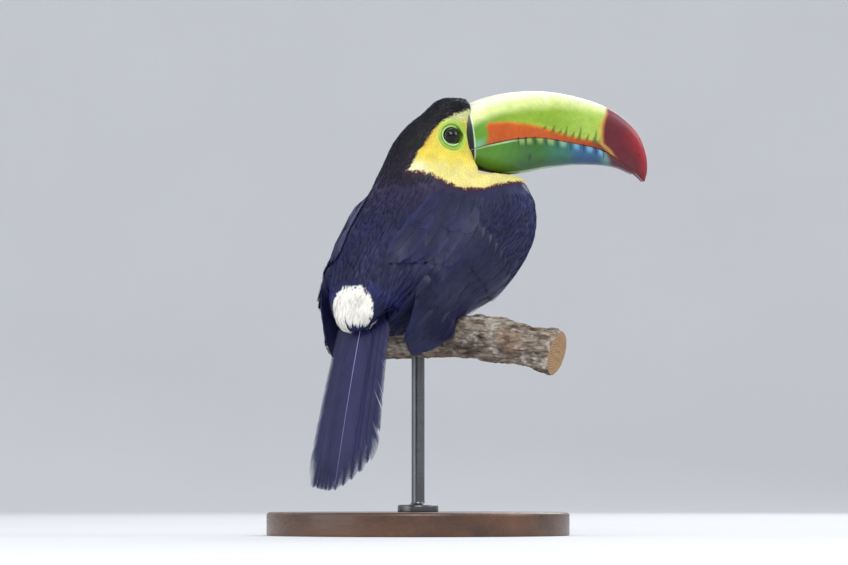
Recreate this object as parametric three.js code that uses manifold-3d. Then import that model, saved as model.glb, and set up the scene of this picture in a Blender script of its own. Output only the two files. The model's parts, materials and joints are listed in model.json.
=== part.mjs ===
// Keel-billed toucan, life size, perched on a cut length of branch over a plain display stand.
// Millimetres, +Z up. The origin is the centre of the underside of the stand's base.
// The bird faces -Y, so its right side is -X, and its head is turned to its right.
import * as THREE from "three";
import { mergeVertices } from "three/addons/utils/BufferGeometryUtils.js";
import Module from "manifold-3d";

// ---------------------------------------------------------------- driving dimensions
const GAP = 0.3; // air left between two pieces that meet
const WING_GAP = 0.8; // the same under a wing, where two curved faces meet
const BODY_STEP = 12; // spacing of the surface mesh of the trunk
const HEAD_STEP = 8.2; // spacing of the surface mesh of the neck and head

const BASE_RADIUS = 104;
const BASE_HEIGHT = 16;
const BASE_BEVEL = 2.5;
const ROD_RADIUS = 4.5;
const ROD_FLANGE_RADIUS = 14;
const ROD_FLANGE_HEIGHT = 5;
const ROD_DEPTH_IN_PERCH = 12;

const PERCH_RADIUS = 14;
const PERCH_TO_RIGHT = 106; // from under the bird to the branch's right-hand end
const PERCH_TO_LEFT = 70;
const PERCH_HEIGHT = 136; // height of the branch's axis where the feet grip it
const PERCH_STRAIGHT = 35; // to each side of the middle, under the feet
const PERCH_DROOP = 13; // how far the right-hand end of the branch sinks
const PERCH_SWEEP = 9; // how far its ends bend forward
const PERCH_SIDES = 16;

const BODY_PITCH = 38; // degrees by which the trunk's axis rises towards the breast
const RUMP_PITCH = 60;
const TAIL_PITCH = 73; // degrees below the horizontal of the hanging tail
const HEAD_TURN = 42; // degrees by which the head is turned to the bird's right
const BILL_BASE = { forward: 28, right: 17, up: 275 }; // middle of the bill's root

const CROWN_PITCH = 38; // degrees by which the crown rises from the nape to the bill
const FACE_BLUNT = 3.6; // the power that squares off the face where the bill stands on it
const FACE_FRONT = 1.8; // how far past the bill's root the feathered face reaches
const THROAT_TOP = -24.5; // the throat lies this far under the bill's root

const EYE_RADIUS = 6.6;
const EYE_PLACE = { along: -11.8, up: -0.3 }; // in the head's own frame
const EYE_SINK = 4.6; // from the face's surface in to the eyeball's centre

const TAIL_LENGTH = 150;
const TAIL_ROOT = { forward: -61.5, right: 0, up: 174 };
const TAIL_SPREAD = 4.4; // degrees from the middle of the tail to each outermost feather
const RECTRIX_WIDTH = 22;
const RECTRIX_STEP = 2.2; // from the root of one feather sideways to the next
const RECTRIX_THICKNESS = 1.1;
const RECTRIX_PAIRS = 5;
const LEFT_GRADE = 0.6; // how much each feather outwards is shorter than the last
const RIGHT_GRADE = 3.4; // the same on the right, where the vanes are worn

const BELLY_CLEARANCE = 2.6; // between the belly's feathers and the toes on the branch
const FOOT_SPACING = 21; // from the middle plane to each foot
const TOE_RADIUS = 2.7;
const SHANK_RADIUS = 3.1;
const CLAW_LENGTH = 11;

// ---------------------------------------------------------------- places and directions
/** A point given by how far it lies forward, to the right and up. */
function at(forward, right, up) {
  return new THREE.Vector3(-right, -forward, up);
}

/** The point named by an object with forward, right and up. */
function placeOf(spot) {
  return at(spot.forward, spot.right, spot.up);
}

/** The turn that takes the bird's own axes to a piece pitched up and turned right, in degrees. */
function turnOf(pitch, turn) {
  const toRight = new THREE.Quaternion().setFromAxisAngle(
    new THREE.Vector3(0, 0, 1),
    -THREE.MathUtils.degToRad(turn),
  );
  const upward = new THREE.Quaternion().setFromAxisAngle(
    new THREE.Vector3(-1, 0, 0),
    THREE.MathUtils.degToRad(pitch),
  );
  return toRight.multiply(upward);
}

const headTurn = turnOf(0, HEAD_TURN);
const headRoot = placeOf(BILL_BASE);

/** A point given in the head's own frame: along the bill, to the right and up from its root. */
function onHead(along, side, up) {
  return at(along, side, up).applyQuaternion(headTurn).add(headRoot);
}

// ---------------------------------------------------------------- joining and cutting
const wasm = await Module();
wasm.setup();

/** The manifold solid of a closed three.js geometry. */
function solidOf(geometry) {
  const bare = geometry.clone();
  bare.deleteAttribute("normal");
  bare.deleteAttribute("uv");
  const merged = mergeVertices(bare, 1e-4);
  return new wasm.Manifold(
    new wasm.Mesh({
      numProp: 3,
      vertProperties: new Float32Array(merged.getAttribute("position").array),
      triVerts: new Uint32Array(merged.getIndex().array),
    }),
  );
}

/** The three.js geometry of a manifold solid. */
function geometryOf(solid) {
  const mesh = solid.getMesh();
  const geometry = new THREE.BufferGeometry();
  geometry.setAttribute("position", new THREE.BufferAttribute(new Float32Array(mesh.vertProperties), 3));
  geometry.setIndex(new THREE.BufferAttribute(new Uint32Array(mesh.triVerts), 1));
  return geometry;
}

/** The largest separate piece of a solid, so that a cut leaves no crumbs. */
function mainPiece(solid) {
  const pieces = solid.decompose();
  return pieces.reduce((best, piece) => (piece.volume() > best.volume() ? piece : best));
}

/** One solid from many that overlap. */
function unionOf(solids) {
  return solids.reduce((whole, solid) => whole.add(solid));
}

// ---------------------------------------------------------------- closed surfaces from rings
/** Six times the signed volume inside a triangle list. */
function signedVolume(points, triangles) {
  let total = 0;
  for (const [a, b, c] of triangles) {
    total += points[a].dot(new THREE.Vector3().crossVectors(points[b], points[c]));
  }
  return total;
}

/** A geometry from points and triangles, turned to face outwards. */
function closedGeometry(points, triangles) {
  const outward = signedVolume(points, triangles) > 0;
  const order = outward ? triangles : triangles.map(([a, b, c]) => [a, c, b]);
  const geometry = new THREE.BufferGeometry();
  geometry.setFromPoints(points);
  geometry.setIndex(order.flat());
  return geometry;
}

/** A closed skin over a row of rings with the same number of points, with a fan on each end. */
function loft(rings) {
  const count = rings[0].length;
  const points = rings.flat();
  const triangles = [];
  for (let ring = 0; ring + 1 < rings.length; ring += 1) {
    for (let i = 0; i < count; i += 1) {
      const a = ring * count + i;
      const b = ring * count + ((i + 1) % count);
      triangles.push([a, b, a + count], [b, b + count, a + count]);
    }
  }
  for (const ring of [0, rings.length - 1]) {
    const middle = new THREE.Vector3();
    rings[ring].forEach((point) => middle.addScaledVector(point, 1 / count));
    points.push(middle);
    for (let i = 0; i < count; i += 1) {
      const a = ring * count + i;
      const b = ring * count + ((i + 1) % count);
      triangles.push(ring === 0 ? [b, a, points.length - 1] : [a, b, points.length - 1]);
    }
  }
  return closedGeometry(points, triangles);
}

/** The value at place t of a smooth curve through [place, value] pairs. */
function smoothThrough(pairs, t) {
  if (t <= pairs[0][0]) return pairs[0][1];
  const last = pairs.length - 1;
  if (t >= pairs[last][0]) return pairs[last][1];
  const i = pairs.findIndex((pair, index) => index < last && t < pairs[index + 1][0]);
  const slopeAt = (k) => {
    const low = pairs[Math.max(k - 1, 0)];
    const high = pairs[Math.min(k + 1, last)];
    return (high[1] - low[1]) / (high[0] - low[0]);
  };
  const width = pairs[i + 1][0] - pairs[i][0];
  const s = (t - pairs[i][0]) / width;
  const rise = pairs[i][1] * (1 + 2 * s) * (1 - s) ** 2 + pairs[i + 1][1] * s * s * (3 - 2 * s);
  return rise + width * (slopeAt(i) * s * (1 - s) ** 2 + slopeAt(i + 1) * s * s * (s - 1));
}

// ---------------------------------------------------------------- the body as a field
/**
 * The distance to an ellipsoid whose radii are along, across and through its own axes.
 * A power of 2 makes it round, and a higher one makes it blunter.
 */
function ellipsoid(centre, radii, turn, power = 2) {
  const back = turn.clone().invert();
  return (point) => {
    const local = point.clone().sub(centre).applyQuaternion(back);
    const sides = [local.x / radii.across, local.y / radii.along, local.z / radii.through].map(Math.abs);
    const near = sides.reduce((sum, side) => sum + side ** power, 0) ** (1 / power);
    if (near < 1e-6) return -Math.min(radii.across, radii.through);
    const [x, y, z] = sides.map((side) => (side / near) ** (power - 1));
    return (near - 1) / Math.hypot(x / radii.across, y / radii.along, z / radii.through);
  };
}

/** The distance to two shapes blended into one over a width of soft. */
function blend(a, b, soft) {
  const h = Math.max(soft - Math.abs(a - b), 0) / soft;
  return Math.min(a, b) - (h * h * soft) / 4;
}

/** The rounded masses of flesh and feather that the body is made of, each with its softness. */
function bodyMasses() {
  const level = turnOf(0, 0);
  const trunk = turnOf(BODY_PITCH, 0);
  const rump = turnOf(RUMP_PITCH, 0);
  const tailward = turnOf(TAIL_PITCH - 2, 0);
  const crownward = turnOf(CROWN_PITCH, HEAD_TURN);
  const face = { along: 13.5, across: 19, through: 26.6 };
  return [
    { soft: 0, shape: ellipsoid(at(3, 0, 199), { along: 76, across: 50, through: 50 }, trunk) },
    { soft: 30, shape: ellipsoid(at(44, 2, 208), { along: 42, across: 48, through: 40 }, level) },
    { soft: 20, shape: ellipsoid(at(47, 37, 226), { along: 30, across: 22, through: 30 }, level) },
    { soft: 20, shape: ellipsoid(at(47, -37, 226), { along: 30, across: 22, through: 30 }, level) },
    { soft: 16, shape: ellipsoid(at(27, 34, 189), { along: 42, across: 18, through: 27 }, trunk) },
    { soft: 16, shape: ellipsoid(at(27, -34, 189), { along: 42, across: 18, through: 27 }, trunk) },
    { soft: 26, shape: ellipsoid(at(-48, 0, 172), { along: 38, across: 33, through: 27 }, rump) },
    { soft: 14, shape: ellipsoid(at(-72, 0, 158), { along: 25, across: 21, through: 14 }, tailward) },
    { soft: 24, shape: ellipsoid(at(12, 2, 245), { along: 31, across: 31, through: 31 }, headTurn) },
    { soft: 8, shape: ellipsoid(onHead(-23, 0, -1.2), { along: 33, across: 19.5, through: 17.6 }, crownward) },
    { soft: 6, shape: ellipsoid(onHead(-9, 0, 2.6), face, headTurn, FACE_BLUNT) },
    { soft: 14, shape: ellipsoid(onHead(4, -3, -46), { along: 29, across: 26, through: 16 }, headTurn) },
    { soft: 10, shape: ellipsoid(at(-14, 21, 160), { along: 20, across: 13, through: 15 }, trunk) },
    { soft: 10, shape: ellipsoid(at(-14, -21, 160), { along: 20, across: 13, through: 15 }, trunk) },
  ];
}

const masses = bodyMasses();

/** The distance to the space kept clear round the branch and the toes on it. */
function perchSpace(point) {
  return Math.hypot(point.y, point.z - PERCH_HEIGHT) - (PERCH_RADIUS + 2 * TOE_RADIUS + BELLY_CLEARANCE);
}

/** The signed distance from a point to all the masses together. */
function massField(point) {
  return masses.reduce(
    (distance, mass) => (mass.soft === 0 ? mass.shape(point) : blend(distance, mass.shape(point), mass.soft)),
    0,
  );
}

/** The distance to the space in front of the face and over the throat that the bill stands in. */
function billSpace(point) {
  const local = point.clone().sub(headRoot).applyQuaternion(headTurn.clone().invert());
  return Math.max(local.y + FACE_FRONT, THROAT_TOP - local.z);
}

/** The signed distance to the whole feathered body, drawn back from the branch and the bill. */
function bodyField(point) {
  const overPerch = -blend(-massField(point), perchSpace(point), 5);
  return -blend(-overPerch, billSpace(point), 2);
}

/** The direction in which a field grows fastest. */
function fieldSlope(field, point) {
  const reach = 0.5;
  const slope = new THREE.Vector3();
  for (const axis of ["x", "y", "z"]) {
    const ahead = point.clone();
    const behind = point.clone();
    ahead[axis] += reach;
    behind[axis] -= reach;
    slope[axis] = (field(ahead) - field(behind)) / (2 * reach);
  }
  return slope;
}

/** Moves a point onto a field's surface, straight down its slope. */
function settle(field, point) {
  for (let pass = 0; pass < 4; pass += 1) {
    const slope = fieldSlope(field, point);
    point.addScaledVector(slope, -field(point) / Math.max(slope.lengthSq(), 0.1));
  }
  return point;
}

/** The middle of the places where the edges of one grid cell cross a field's surface. */
function cellPoint(field, corners, values) {
  const sum = new THREE.Vector3();
  let crossings = 0;
  for (let a = 0; a < 8; a += 1) {
    for (const bit of [1, 2, 4]) {
      const b = a | bit;
      if (b === a || values[a] < 0 === values[b] < 0) continue;
      sum.add(corners[a].clone().lerp(corners[b], values[a] / (values[a] - values[b])));
      crossings += 1;
    }
  }
  return settle(field, sum.divideScalar(crossings));
}

/** The body over a level floor in a box, as a closed mesh with one point in each cell it crosses. */
function bodySurface(box, step) {
  const floor = box.min.z + 2 * step;
  const field = (point) => Math.max(bodyField(point), floor - point.z);
  const counts = box.getSize(new THREE.Vector3()).divideScalar(step).ceil();
  const [nx, ny, nz] = [counts.x + 1, counts.y + 1, counts.z + 1];
  const indexOf = (i, j, k) => (k * ny + j) * nx + i;
  const spot = (i, j, k) => new THREE.Vector3(i, j, k).multiplyScalar(step).add(box.min);
  const values = new Float64Array(nx * ny * nz);
  for (let k = 0; k < nz; k += 1) {
    for (let j = 0; j < ny; j += 1) {
      for (let i = 0; i < nx; i += 1) values[indexOf(i, j, k)] = field(spot(i, j, k));
    }
  }
  const points = [];
  const cells = new Map();
  for (let k = 0; k + 1 < nz; k += 1) {
    for (let j = 0; j + 1 < ny; j += 1) {
      for (let i = 0; i + 1 < nx; i += 1) {
        const grid = [0, 1, 2, 3, 4, 5, 6, 7].map((c) => [i + (c & 1), j + ((c >> 1) & 1), k + (c >> 2)]);
        const cornerValues = grid.map((g) => values[indexOf(...g)]);
        if (cornerValues.every((v) => v < 0) || cornerValues.every((v) => v >= 0)) continue;
        cells.set(indexOf(i, j, k), points.length);
        points.push(cellPoint(field, grid.map((g) => spot(...g)), cornerValues));
      }
    }
  }
  return closedGeometry(points, netTriangles(values, cells, [nx, ny, nz], indexOf));
}

/** Two triangles across each grid edge that crosses the surface, between the four cells round it. */
function netTriangles(values, cells, [nx, ny, nz], indexOf) {
  const triangles = [];
  const steps = [[1, 0, 0], [0, 1, 0], [0, 0, 1]];
  for (let k = 1; k + 1 < nz; k += 1) {
    for (let j = 1; j + 1 < ny; j += 1) {
      for (let i = 1; i + 1 < nx; i += 1) {
        const here = values[indexOf(i, j, k)] < 0;
        steps.forEach(([di, dj, dk], axis) => {
          if (here === values[indexOf(i + di, j + dj, k + dk)] < 0) return;
          const u = steps[(axis + 1) % 3];
          const v = steps[(axis + 2) % 3];
          const around = [[0, 0], [1, 0], [1, 1], [0, 1]].map(([p, q]) =>
            cells.get(indexOf(i - p * u[0] - q * v[0], j - p * u[1] - q * v[1], k - p * u[2] - q * v[2])),
          );
          const [a, b, c, d] = here ? around : around.toReversed();
          triangles.push([a, b, c], [a, c, d]);
        });
      }
    }
  }
  return triangles;
}

// ---------------------------------------------------------------- cutting tools
const FAR = 400;

/** A big block on the far side of a plane through a point, moved off by an offset. */
function beyondPlane(through, normal, offset) {
  const block = new THREE.BoxGeometry(FAR, FAR, FAR).translate(0, 0, FAR / 2 + offset);
  block.applyQuaternion(new THREE.Quaternion().setFromUnitVectors(new THREE.Vector3(0, 0, 1), normal));
  block.translate(through.x, through.y, through.z);
  return solidOf(block);
}

// ---------------------------------------------------------------- the bill
// Outlines in the head's middle plane, as distances along and heights over the bill's root.
const CULMEN = [
  [0, 21.5], [14, 27.6], [30, 32.2], [49, 34.6], [68, 34.2], [88, 30.6],
  [105, 24.8], [118, 16.4], [127, 6.4], [131.8, -7], [132.8, -18.5], [131.2, -26.6],
];
const TOMIUM = [
  [0, -9.5], [14, -5.2], [34, -0.8], [54, 0.6], [76, -2],
  [94, -5], [106, -9.8], [116, -16], [125, -22.5], [129.6, -26.8],
];
const GONYS = [
  [0, -18.5], [12, -22], [28, -24], [42, -22.7], [60, -18.9],
  [80, -16.3], [96, -15.9], [110, -17.4], [122, -21.8],
];
const LOWER_EDGE = [
  [0, -9.8], [14, -5.5], [34, -1.1], [54, 0.3], [76, -2.3],
  [94, -5.3], [106, -10.1], [116, -16.3], [123, -21.4],
];
const HALF_WIDTH = [[0, 18.5], [20, 17.6], [50, 15], [80, 11.6], [105, 8.2], [122, 5.2], [132, 2.2]];
const BILL_ROOT_LEAN = 0.22; // the root reaches further forward low down, by this much per mm
const BILL_SINK = 2.4; // how far the bill's root is set into the head
const LOWER_INSET = 0.8; // the lower half is this much narrower on each side

/** A smooth curve in the head's middle plane through [along, up] pairs. */
function profileCurve(pairs) {
  return new THREE.CatmullRomCurve3(pairs.map(([along, up]) => new THREE.Vector3(along, up, 0)));
}

/** Rings between a ridge and a pair of cutting edges, from the root to the tip, grown by more. */
function billRings(ridge, edge, inset, count, sideCount, more) {
  const ridgeCurve = profileCurve(ridge);
  const edgeCurve = profileCurve(edge);
  const rings = [];
  for (let i = 0; i <= count; i += 1) {
    const share = Math.max(i - 1, 0) / (count - 1);
    const top = ridgeCurve.getPointAt(share);
    const low = edgeCurve.getPointAt(share);
    const rising = top.clone().sub(low).setLength(more);
    top.add(rising);
    low.sub(rising);
    const sink = i === 0 ? BILL_SINK + more : 0;
    const width = smoothThrough(HALF_WIDTH, (top.x + low.x) / 2) - (i === 0 ? 3 : 0) - inset + more;
    const ring = [];
    for (let j = -sideCount; j <= sideCount; j += 1) {
      const angle = (j / sideCount) * (Math.PI / 2);
      const side = Math.sign(angle) * width * Math.abs(Math.sin(angle)) ** 0.82;
      ring.push([side, Math.cos(angle) ** 0.9]);
    }
    ring.push([width * 0.5, 0.02], [-width * 0.5, 0.02]);
    rings.push(
      ring.map(([side, rise]) => {
        const spot = low.clone().lerp(top, rise);
        return onHead(spot.x - sink - BILL_ROOT_LEAN * Math.min(spot.y, 8) * (1 - share), side, spot.y);
      }),
    );
  }
  return rings;
}

/** The upper half of the bill, an arch with a hooked tip, grown on every side by more. */
function billUpper(more) {
  return loft(billRings(CULMEN, TOMIUM, 0, 16, 7, more));
}

/** The lower half of the bill, a trough that closes up into the upper half, grown by more. */
function billLower(more) {
  return loft(billRings(GONYS, LOWER_EDGE, LOWER_INSET, 12, 5, more));
}

// ---------------------------------------------------------------- the wings
const WING_PITCH = 38; // degrees by which the folded wing rises towards the shoulder
const WING_FRONT = { forward: 70, right: 0, up: 226 }; // where the wing's axis meets the breast
const WING_LENGTH = 167;
const WING_SIDE = [[0.5, 20], [0.72, 40], [0.88, 38.5], [1, 31]]; // least distance from the middle plane
// Degrees round from straight up, at shares of the way from the shoulder to the tip.
const WING_UPPER_EDGE = [[0, 74], [0.08, 50], [0.25, 36], [0.5, 34], [0.75, 42], [0.9, 54], [1, 70]];
const WING_LOWER_EDGE = [[0, 80], [0.08, 104], [0.25, 116], [0.5, 116], [0.75, 112], [0.9, 110], [1, 102]];
const WING_LIFT = [[0, 0.6], [0.1, 3.4], [0.45, 4.2], [0.8, 2.6], [1, 1.6]]; // over the body's surface
const WING_SINK = 1.4; // under the body's surface
const WING_FROM_PERCH = 2; // left between a wing and the branch that it hangs beside

/** How far a ray from the wing's axis goes before it leaves the body. */
function rayToSurface(start, direction) {
  let reach = 0;
  for (let pass = 0; pass < 40; pass += 1) {
    const distance = massField(start.clone().addScaledVector(direction, reach));
    reach -= Math.min(distance * 0.8, 6);
    if (Math.abs(distance) < 0.02) break;
    if (reach < 0) return 0;
  }
  return reach;
}

/** One folded wing on the side given by 1 for right or -1 for left, grown on every side by more. */
function wing(side, more) {
  const rings = [];
  const [alongCount, acrossCount] = [17, 7];
  const turn = turnOf(WING_PITCH, 0);
  const forward = at(1, 0, 0).applyQuaternion(turn);
  const front = placeOf(WING_FRONT);
  const spread = THREE.MathUtils.radToDeg(more / WING_SIDE[0][1]);
  for (let i = 0; i <= alongCount; i += 1) {
    const share = i / alongCount;
    const start = front.clone().addScaledVector(forward, -WING_LENGTH * share + more * (1 - 2 * share));
    const upper = smoothThrough(WING_UPPER_EDGE, share) - spread;
    const lower = smoothThrough(WING_LOWER_EDGE, share) + spread;
    const guide = smoothThrough(WING_SIDE, share);
    const outer = [];
    const inner = [];
    for (let j = 0; j <= acrossCount; j += 1) {
      const angle = THREE.MathUtils.degToRad(THREE.MathUtils.lerp(upper, lower, j / acrossCount));
      const direction = at(0, side * Math.sin(angle), Math.cos(angle)).applyQuaternion(turn);
      const reach = Math.max(rayToSurface(start, direction), guide / Math.max(Math.sin(angle), 0.7));
      const edge = Math.min(1, 3 * Math.min(j, acrossCount - j) / acrossCount + 0.35);
      const lift = smoothThrough(WING_LIFT, share) * edge + more;
      outer.push(start.clone().addScaledVector(direction, reach + lift));
      inner.push(start.clone().addScaledVector(direction, reach - WING_SINK - more));
    }
    rings.push([...outer, ...inner.reverse()]);
  }
  return loft(rings);
}

/** One folded wing, kept clear of the branch that it hangs beside. */
function wingSolid(side) {
  const radius = PERCH_RADIUS + WING_FROM_PERCH;
  const space = new THREE.CylinderGeometry(radius, radius, 2 * PERCH_TO_RIGHT, PERCH_SIDES);
  space.rotateZ(Math.PI / 2).translate(0, 0, PERCH_HEIGHT);
  return mainPiece(solidOf(wing(side, 0)).subtract(solidOf(space)));
}

// ---------------------------------------------------------------- the tail
/** The outline of one tail feather, from its root at the origin down to a blunt tip. */
function rectrixShape(length, width) {
  const shape = new THREE.Shape();
  shape.moveTo(-width * 0.2, 0);
  shape.lineTo(width * 0.2, 0);
  shape.bezierCurveTo(width * 0.5, -length * 0.25, width * 0.5, -length * 0.4, width * 0.5, -length * 0.6);
  shape.bezierCurveTo(width * 0.5, -length * 0.9, width * 0.42, -length, width * 0.1, -length);
  shape.bezierCurveTo(-width * 0.35, -length, -width * 0.5, -length * 0.9, -width * 0.5, -length * 0.6);
  shape.bezierCurveTo(-width * 0.5, -length * 0.4, -width * 0.5, -length * 0.25, -width * 0.2, 0);
  return shape;
}

/** One tail feather in place: number counts out from the middle, side is 1 for right, -1 for left. */
function rectrix(number, side) {
  const length = TAIL_LENGTH - (side > 0 ? RIGHT_GRADE : LEFT_GRADE) * number ** 1.3;
  const options = { depth: RECTRIX_THICKNESS * 1.7, bevelEnabled: false, curveSegments: 2 };
  const feather = new THREE.ExtrudeGeometry(rectrixShape(length, RECTRIX_WIDTH), options);
  feather.translate(0, 0, -number * RECTRIX_THICKNESS - (side < 0 ? 0.5 : 0));
  feather.rotateZ(side * THREE.MathUtils.degToRad((TAIL_SPREAD * (number + 0.4)) / (RECTRIX_PAIRS - 0.6)));
  feather.translate(side * (1.5 + number * RECTRIX_STEP), 0, 0);
  return feather.applyMatrix4(tailFrame());
}

/** Carries a feather's own axes to the bird: X to its right, -Y to the tail's tip, +Z up and back. */
function tailFrame() {
  const right = at(0, 1, 0);
  const angle = THREE.MathUtils.degToRad(TAIL_PITCH);
  const rootward = at(Math.cos(angle), 0, Math.sin(angle));
  const frame = new THREE.Matrix4().makeBasis(right, rootward, right.clone().cross(rootward));
  return frame.setPosition(placeOf(TAIL_ROOT));
}

/** The flat pocket under the coverts that the roots of the tail feathers lie in. */
function tailPocket() {
  const width = 2 * RECTRIX_WIDTH + 4;
  const length = TAIL_LENGTH;
  const thick = RECTRIX_THICKNESS * (RECTRIX_PAIRS + 1.2);
  const slot = new THREE.BoxGeometry(width, length, thick + 2 * GAP);
  slot.translate(0, 2 * GAP - length / 2, 1.7 * RECTRIX_THICKNESS - thick / 2);
  return solidOf(slot.applyMatrix4(tailFrame()));
}

/** All the tail feathers joined where they overlap. */
function tailSolid() {
  const feathers = [];
  for (let number = 0; number < RECTRIX_PAIRS; number += 1) {
    for (const side of [1, -1]) feathers.push(solidOf(rectrix(number, side)));
  }
  return unionOf(feathers);
}

// ---------------------------------------------------------------- legs and feet
// Toes as degrees round the branch from its top, with their sideways spread: front is positive.
const TOES = [
  { name: "outer_front", from: 8, to: 92, spread: 7 },
  { name: "inner_front", from: 8, to: 66, spread: -7 },
  { name: "outer_back", from: -8, to: -84, spread: 8 },
  { name: "inner_back", from: -8, to: -50, spread: -6 },
];
const TOE_RING = PERCH_RADIUS + 0.45 + TOE_RADIUS;

/** A point round the branch: degrees from its top towards the front, at a radius. */
function roundPerch(degrees, radius, right) {
  const angle = THREE.MathUtils.degToRad(degrees);
  return at(radius * Math.sin(angle), right, PERCH_HEIGHT + radius * Math.cos(angle));
}

/** A round bar along a row of points. */
function bar(points, radius, steps) {
  const section = new THREE.Shape().absarc(0, 0, radius, 0, 2 * Math.PI);
  return new THREE.ExtrudeGeometry(section, {
    steps,
    curveSegments: 3,
    bevelEnabled: false,
    extrudePath: new THREE.CatmullRomCurve3(points),
  });
}

/** The sideways place of a toe at a share of its length. */
function toeSide(toe, share, side) {
  return side * (FOOT_SPACING + toe.spread * Math.sqrt(share));
}

/** The shank from the heel to the ankle, grown on every side by more. */
function shank(side, more) {
  const heel = at(-20, side * (FOOT_SPACING - 1), PERCH_HEIGHT + 34);
  const ankle = roundPerch(0, TOE_RING + 1, side * FOOT_SPACING);
  heel.addScaledVector(heel.clone().sub(ankle).normalize(), more);
  return bar([heel, heel.clone().lerp(ankle, 0.5), ankle], SHANK_RADIUS + more, 2);
}

/** One foot with its shank, as a single piece. */
function footSolid(side) {
  const solids = [solidOf(shank(side, 0))];
  const pad = new THREE.SphereGeometry(4.2, 8, 5).scale(1.35, 1.35, 0.75);
  const padPlace = roundPerch(0, TOE_RING + 0.6, side * FOOT_SPACING);
  solids.push(solidOf(pad.translate(padPlace.x, padPlace.y, padPlace.z)));
  for (const toe of TOES) {
    const points = [];
    for (let i = 0; i <= 4; i += 1) {
      const share = i / 4;
      const degrees = THREE.MathUtils.lerp(toe.from * 0.2, toe.to, share);
      points.push(roundPerch(degrees, TOE_RING, toeSide(toe, share, side)));
    }
    solids.push(solidOf(bar(points, TOE_RADIUS, 4)));
  }
  return unionOf(solids);
}

/** One hooked claw past the end of a toe. */
function claw(toe, side) {
  const rings = [];
  const ahead = Math.sign(toe.to);
  for (let i = 0; i <= 4; i += 1) {
    const share = i / 4;
    const sweep = ((GAP + 0.2 + CLAW_LENGTH * share) / TOE_RING) * THREE.MathUtils.RAD2DEG;
    const degrees = toe.to + ahead * sweep;
    const thick = THREE.MathUtils.lerp(2.2, 0.35, share ** 0.8);
    const radius = THREE.MathUtils.lerp(TOE_RING + 0.4, PERCH_RADIUS + 1.1, share ** 1.6);
    const ring = [];
    for (let j = 0; j < 6; j += 1) {
      const angle = (j / 6) * 2 * Math.PI;
      const right = toeSide(toe, 1, side) + thick * 0.75 * Math.cos(angle);
      ring.push(roundPerch(degrees, radius + thick * Math.sin(angle), right));
    }
    rings.push(ring);
  }
  return loft(rings);
}

// ---------------------------------------------------------------- perch and stand
/** The cut branch: straight under the feet and sinking towards its right-hand end. */
function perchSolid() {
  const rings = [];
  const count = 12;
  for (let i = 0; i <= count; i += 1) {
    const right = THREE.MathUtils.lerp(-PERCH_TO_LEFT, PERCH_TO_RIGHT, i / count);
    const beyondFeet = Math.max(Math.abs(right) - PERCH_STRAIGHT, 0) / (PERCH_TO_RIGHT - PERCH_STRAIGHT);
    const up = PERCH_HEIGHT - (right > 0 ? PERCH_DROOP : -0.3 * PERCH_DROOP) * beyondFeet ** 1.5;
    const swell = 1 + 0.09 * beyondFeet * Math.sin(right * 0.13);
    const sweep = PERCH_SWEEP * beyondFeet ** 1.3;
    const radius = PERCH_RADIUS * swell;
    const ring = [];
    for (let j = 0; j < PERCH_SIDES; j += 1) {
      const angle = ((j + 0.5) / PERCH_SIDES) * 2 * Math.PI;
      ring.push(at(radius * Math.sin(angle) + sweep, right, up + radius * Math.cos(angle)));
    }
    rings.push(ring);
  }
  return solidOf(loft(rings));
}

/** The rod up to the perch, with its flange on the base, grown on every side by more. */
function rodGeometry(more) {
  const top = PERCH_HEIGHT - PERCH_RADIUS + ROD_DEPTH_IN_PERCH + more;
  const bottom = BASE_HEIGHT + GAP;
  const profile = [
    [0, bottom],
    [ROD_FLANGE_RADIUS, bottom],
    [ROD_FLANGE_RADIUS, bottom + ROD_FLANGE_HEIGHT - 1.5],
    [ROD_FLANGE_RADIUS - 1.5, bottom + ROD_FLANGE_HEIGHT],
    [ROD_RADIUS + more, bottom + ROD_FLANGE_HEIGHT],
    [ROD_RADIUS + more, top],
    [0, top],
  ].map(([radius, height]) => new THREE.Vector2(radius, height));
  return new THREE.LatheGeometry(profile, 16).rotateX(Math.PI / 2);
}

/** The round base with its bevelled rims. */
function baseGeometry() {
  const profile = [
    [0, 0],
    [BASE_RADIUS - BASE_BEVEL / 2, 0],
    [BASE_RADIUS, BASE_BEVEL / 2],
    [BASE_RADIUS, BASE_HEIGHT - BASE_BEVEL],
    [BASE_RADIUS - BASE_BEVEL, BASE_HEIGHT],
    [0, BASE_HEIGHT],
  ].map(([radius, height]) => new THREE.Vector2(radius, height));
  return new THREE.LatheGeometry(profile, 32).rotateX(Math.PI / 2);
}

// ---------------------------------------------------------------- putting it together
const toucan = new THREE.Group();

/** Adds a named piece with its own material. */
function addPiece(name, shape, color, roughness, metalness) {
  const geometry = shape instanceof THREE.BufferGeometry ? shape : geometryOf(shape);
  const material = new THREE.MeshStandardMaterial({ color, roughness, metalness });
  const mesh = new THREE.Mesh(geometry, material);
  mesh.name = name;
  toucan.add(mesh);
}

const BLACK = 0x2b2d44;
const YELLOW = 0xe8cf2a;
const BILL_GREEN = 0x9fc840;
const BILL_BLUE = 0x69b7c9;
const EYE_DARK = 0x1c1a16;
const LEG_BLUE = 0x6f8aa3;
const CLAW_DARK = 0x2a2c30;
const BARK = 0x8a7f72;
const STEEL = 0x8d8f92;
const WALNUT = 0x5b4432;

/** The box that holds the whole feathered body. */
function bodyBox() {
  return new THREE.Box3(new THREE.Vector3(-90, -114, 80), new THREE.Vector3(90, 120, 326));
}

/** The box that holds the neck and head. */
function headBox() {
  return new THREE.Box3(new THREE.Vector3(-90, -114, 206), new THREE.Vector3(90, 90, 326));
}

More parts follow.
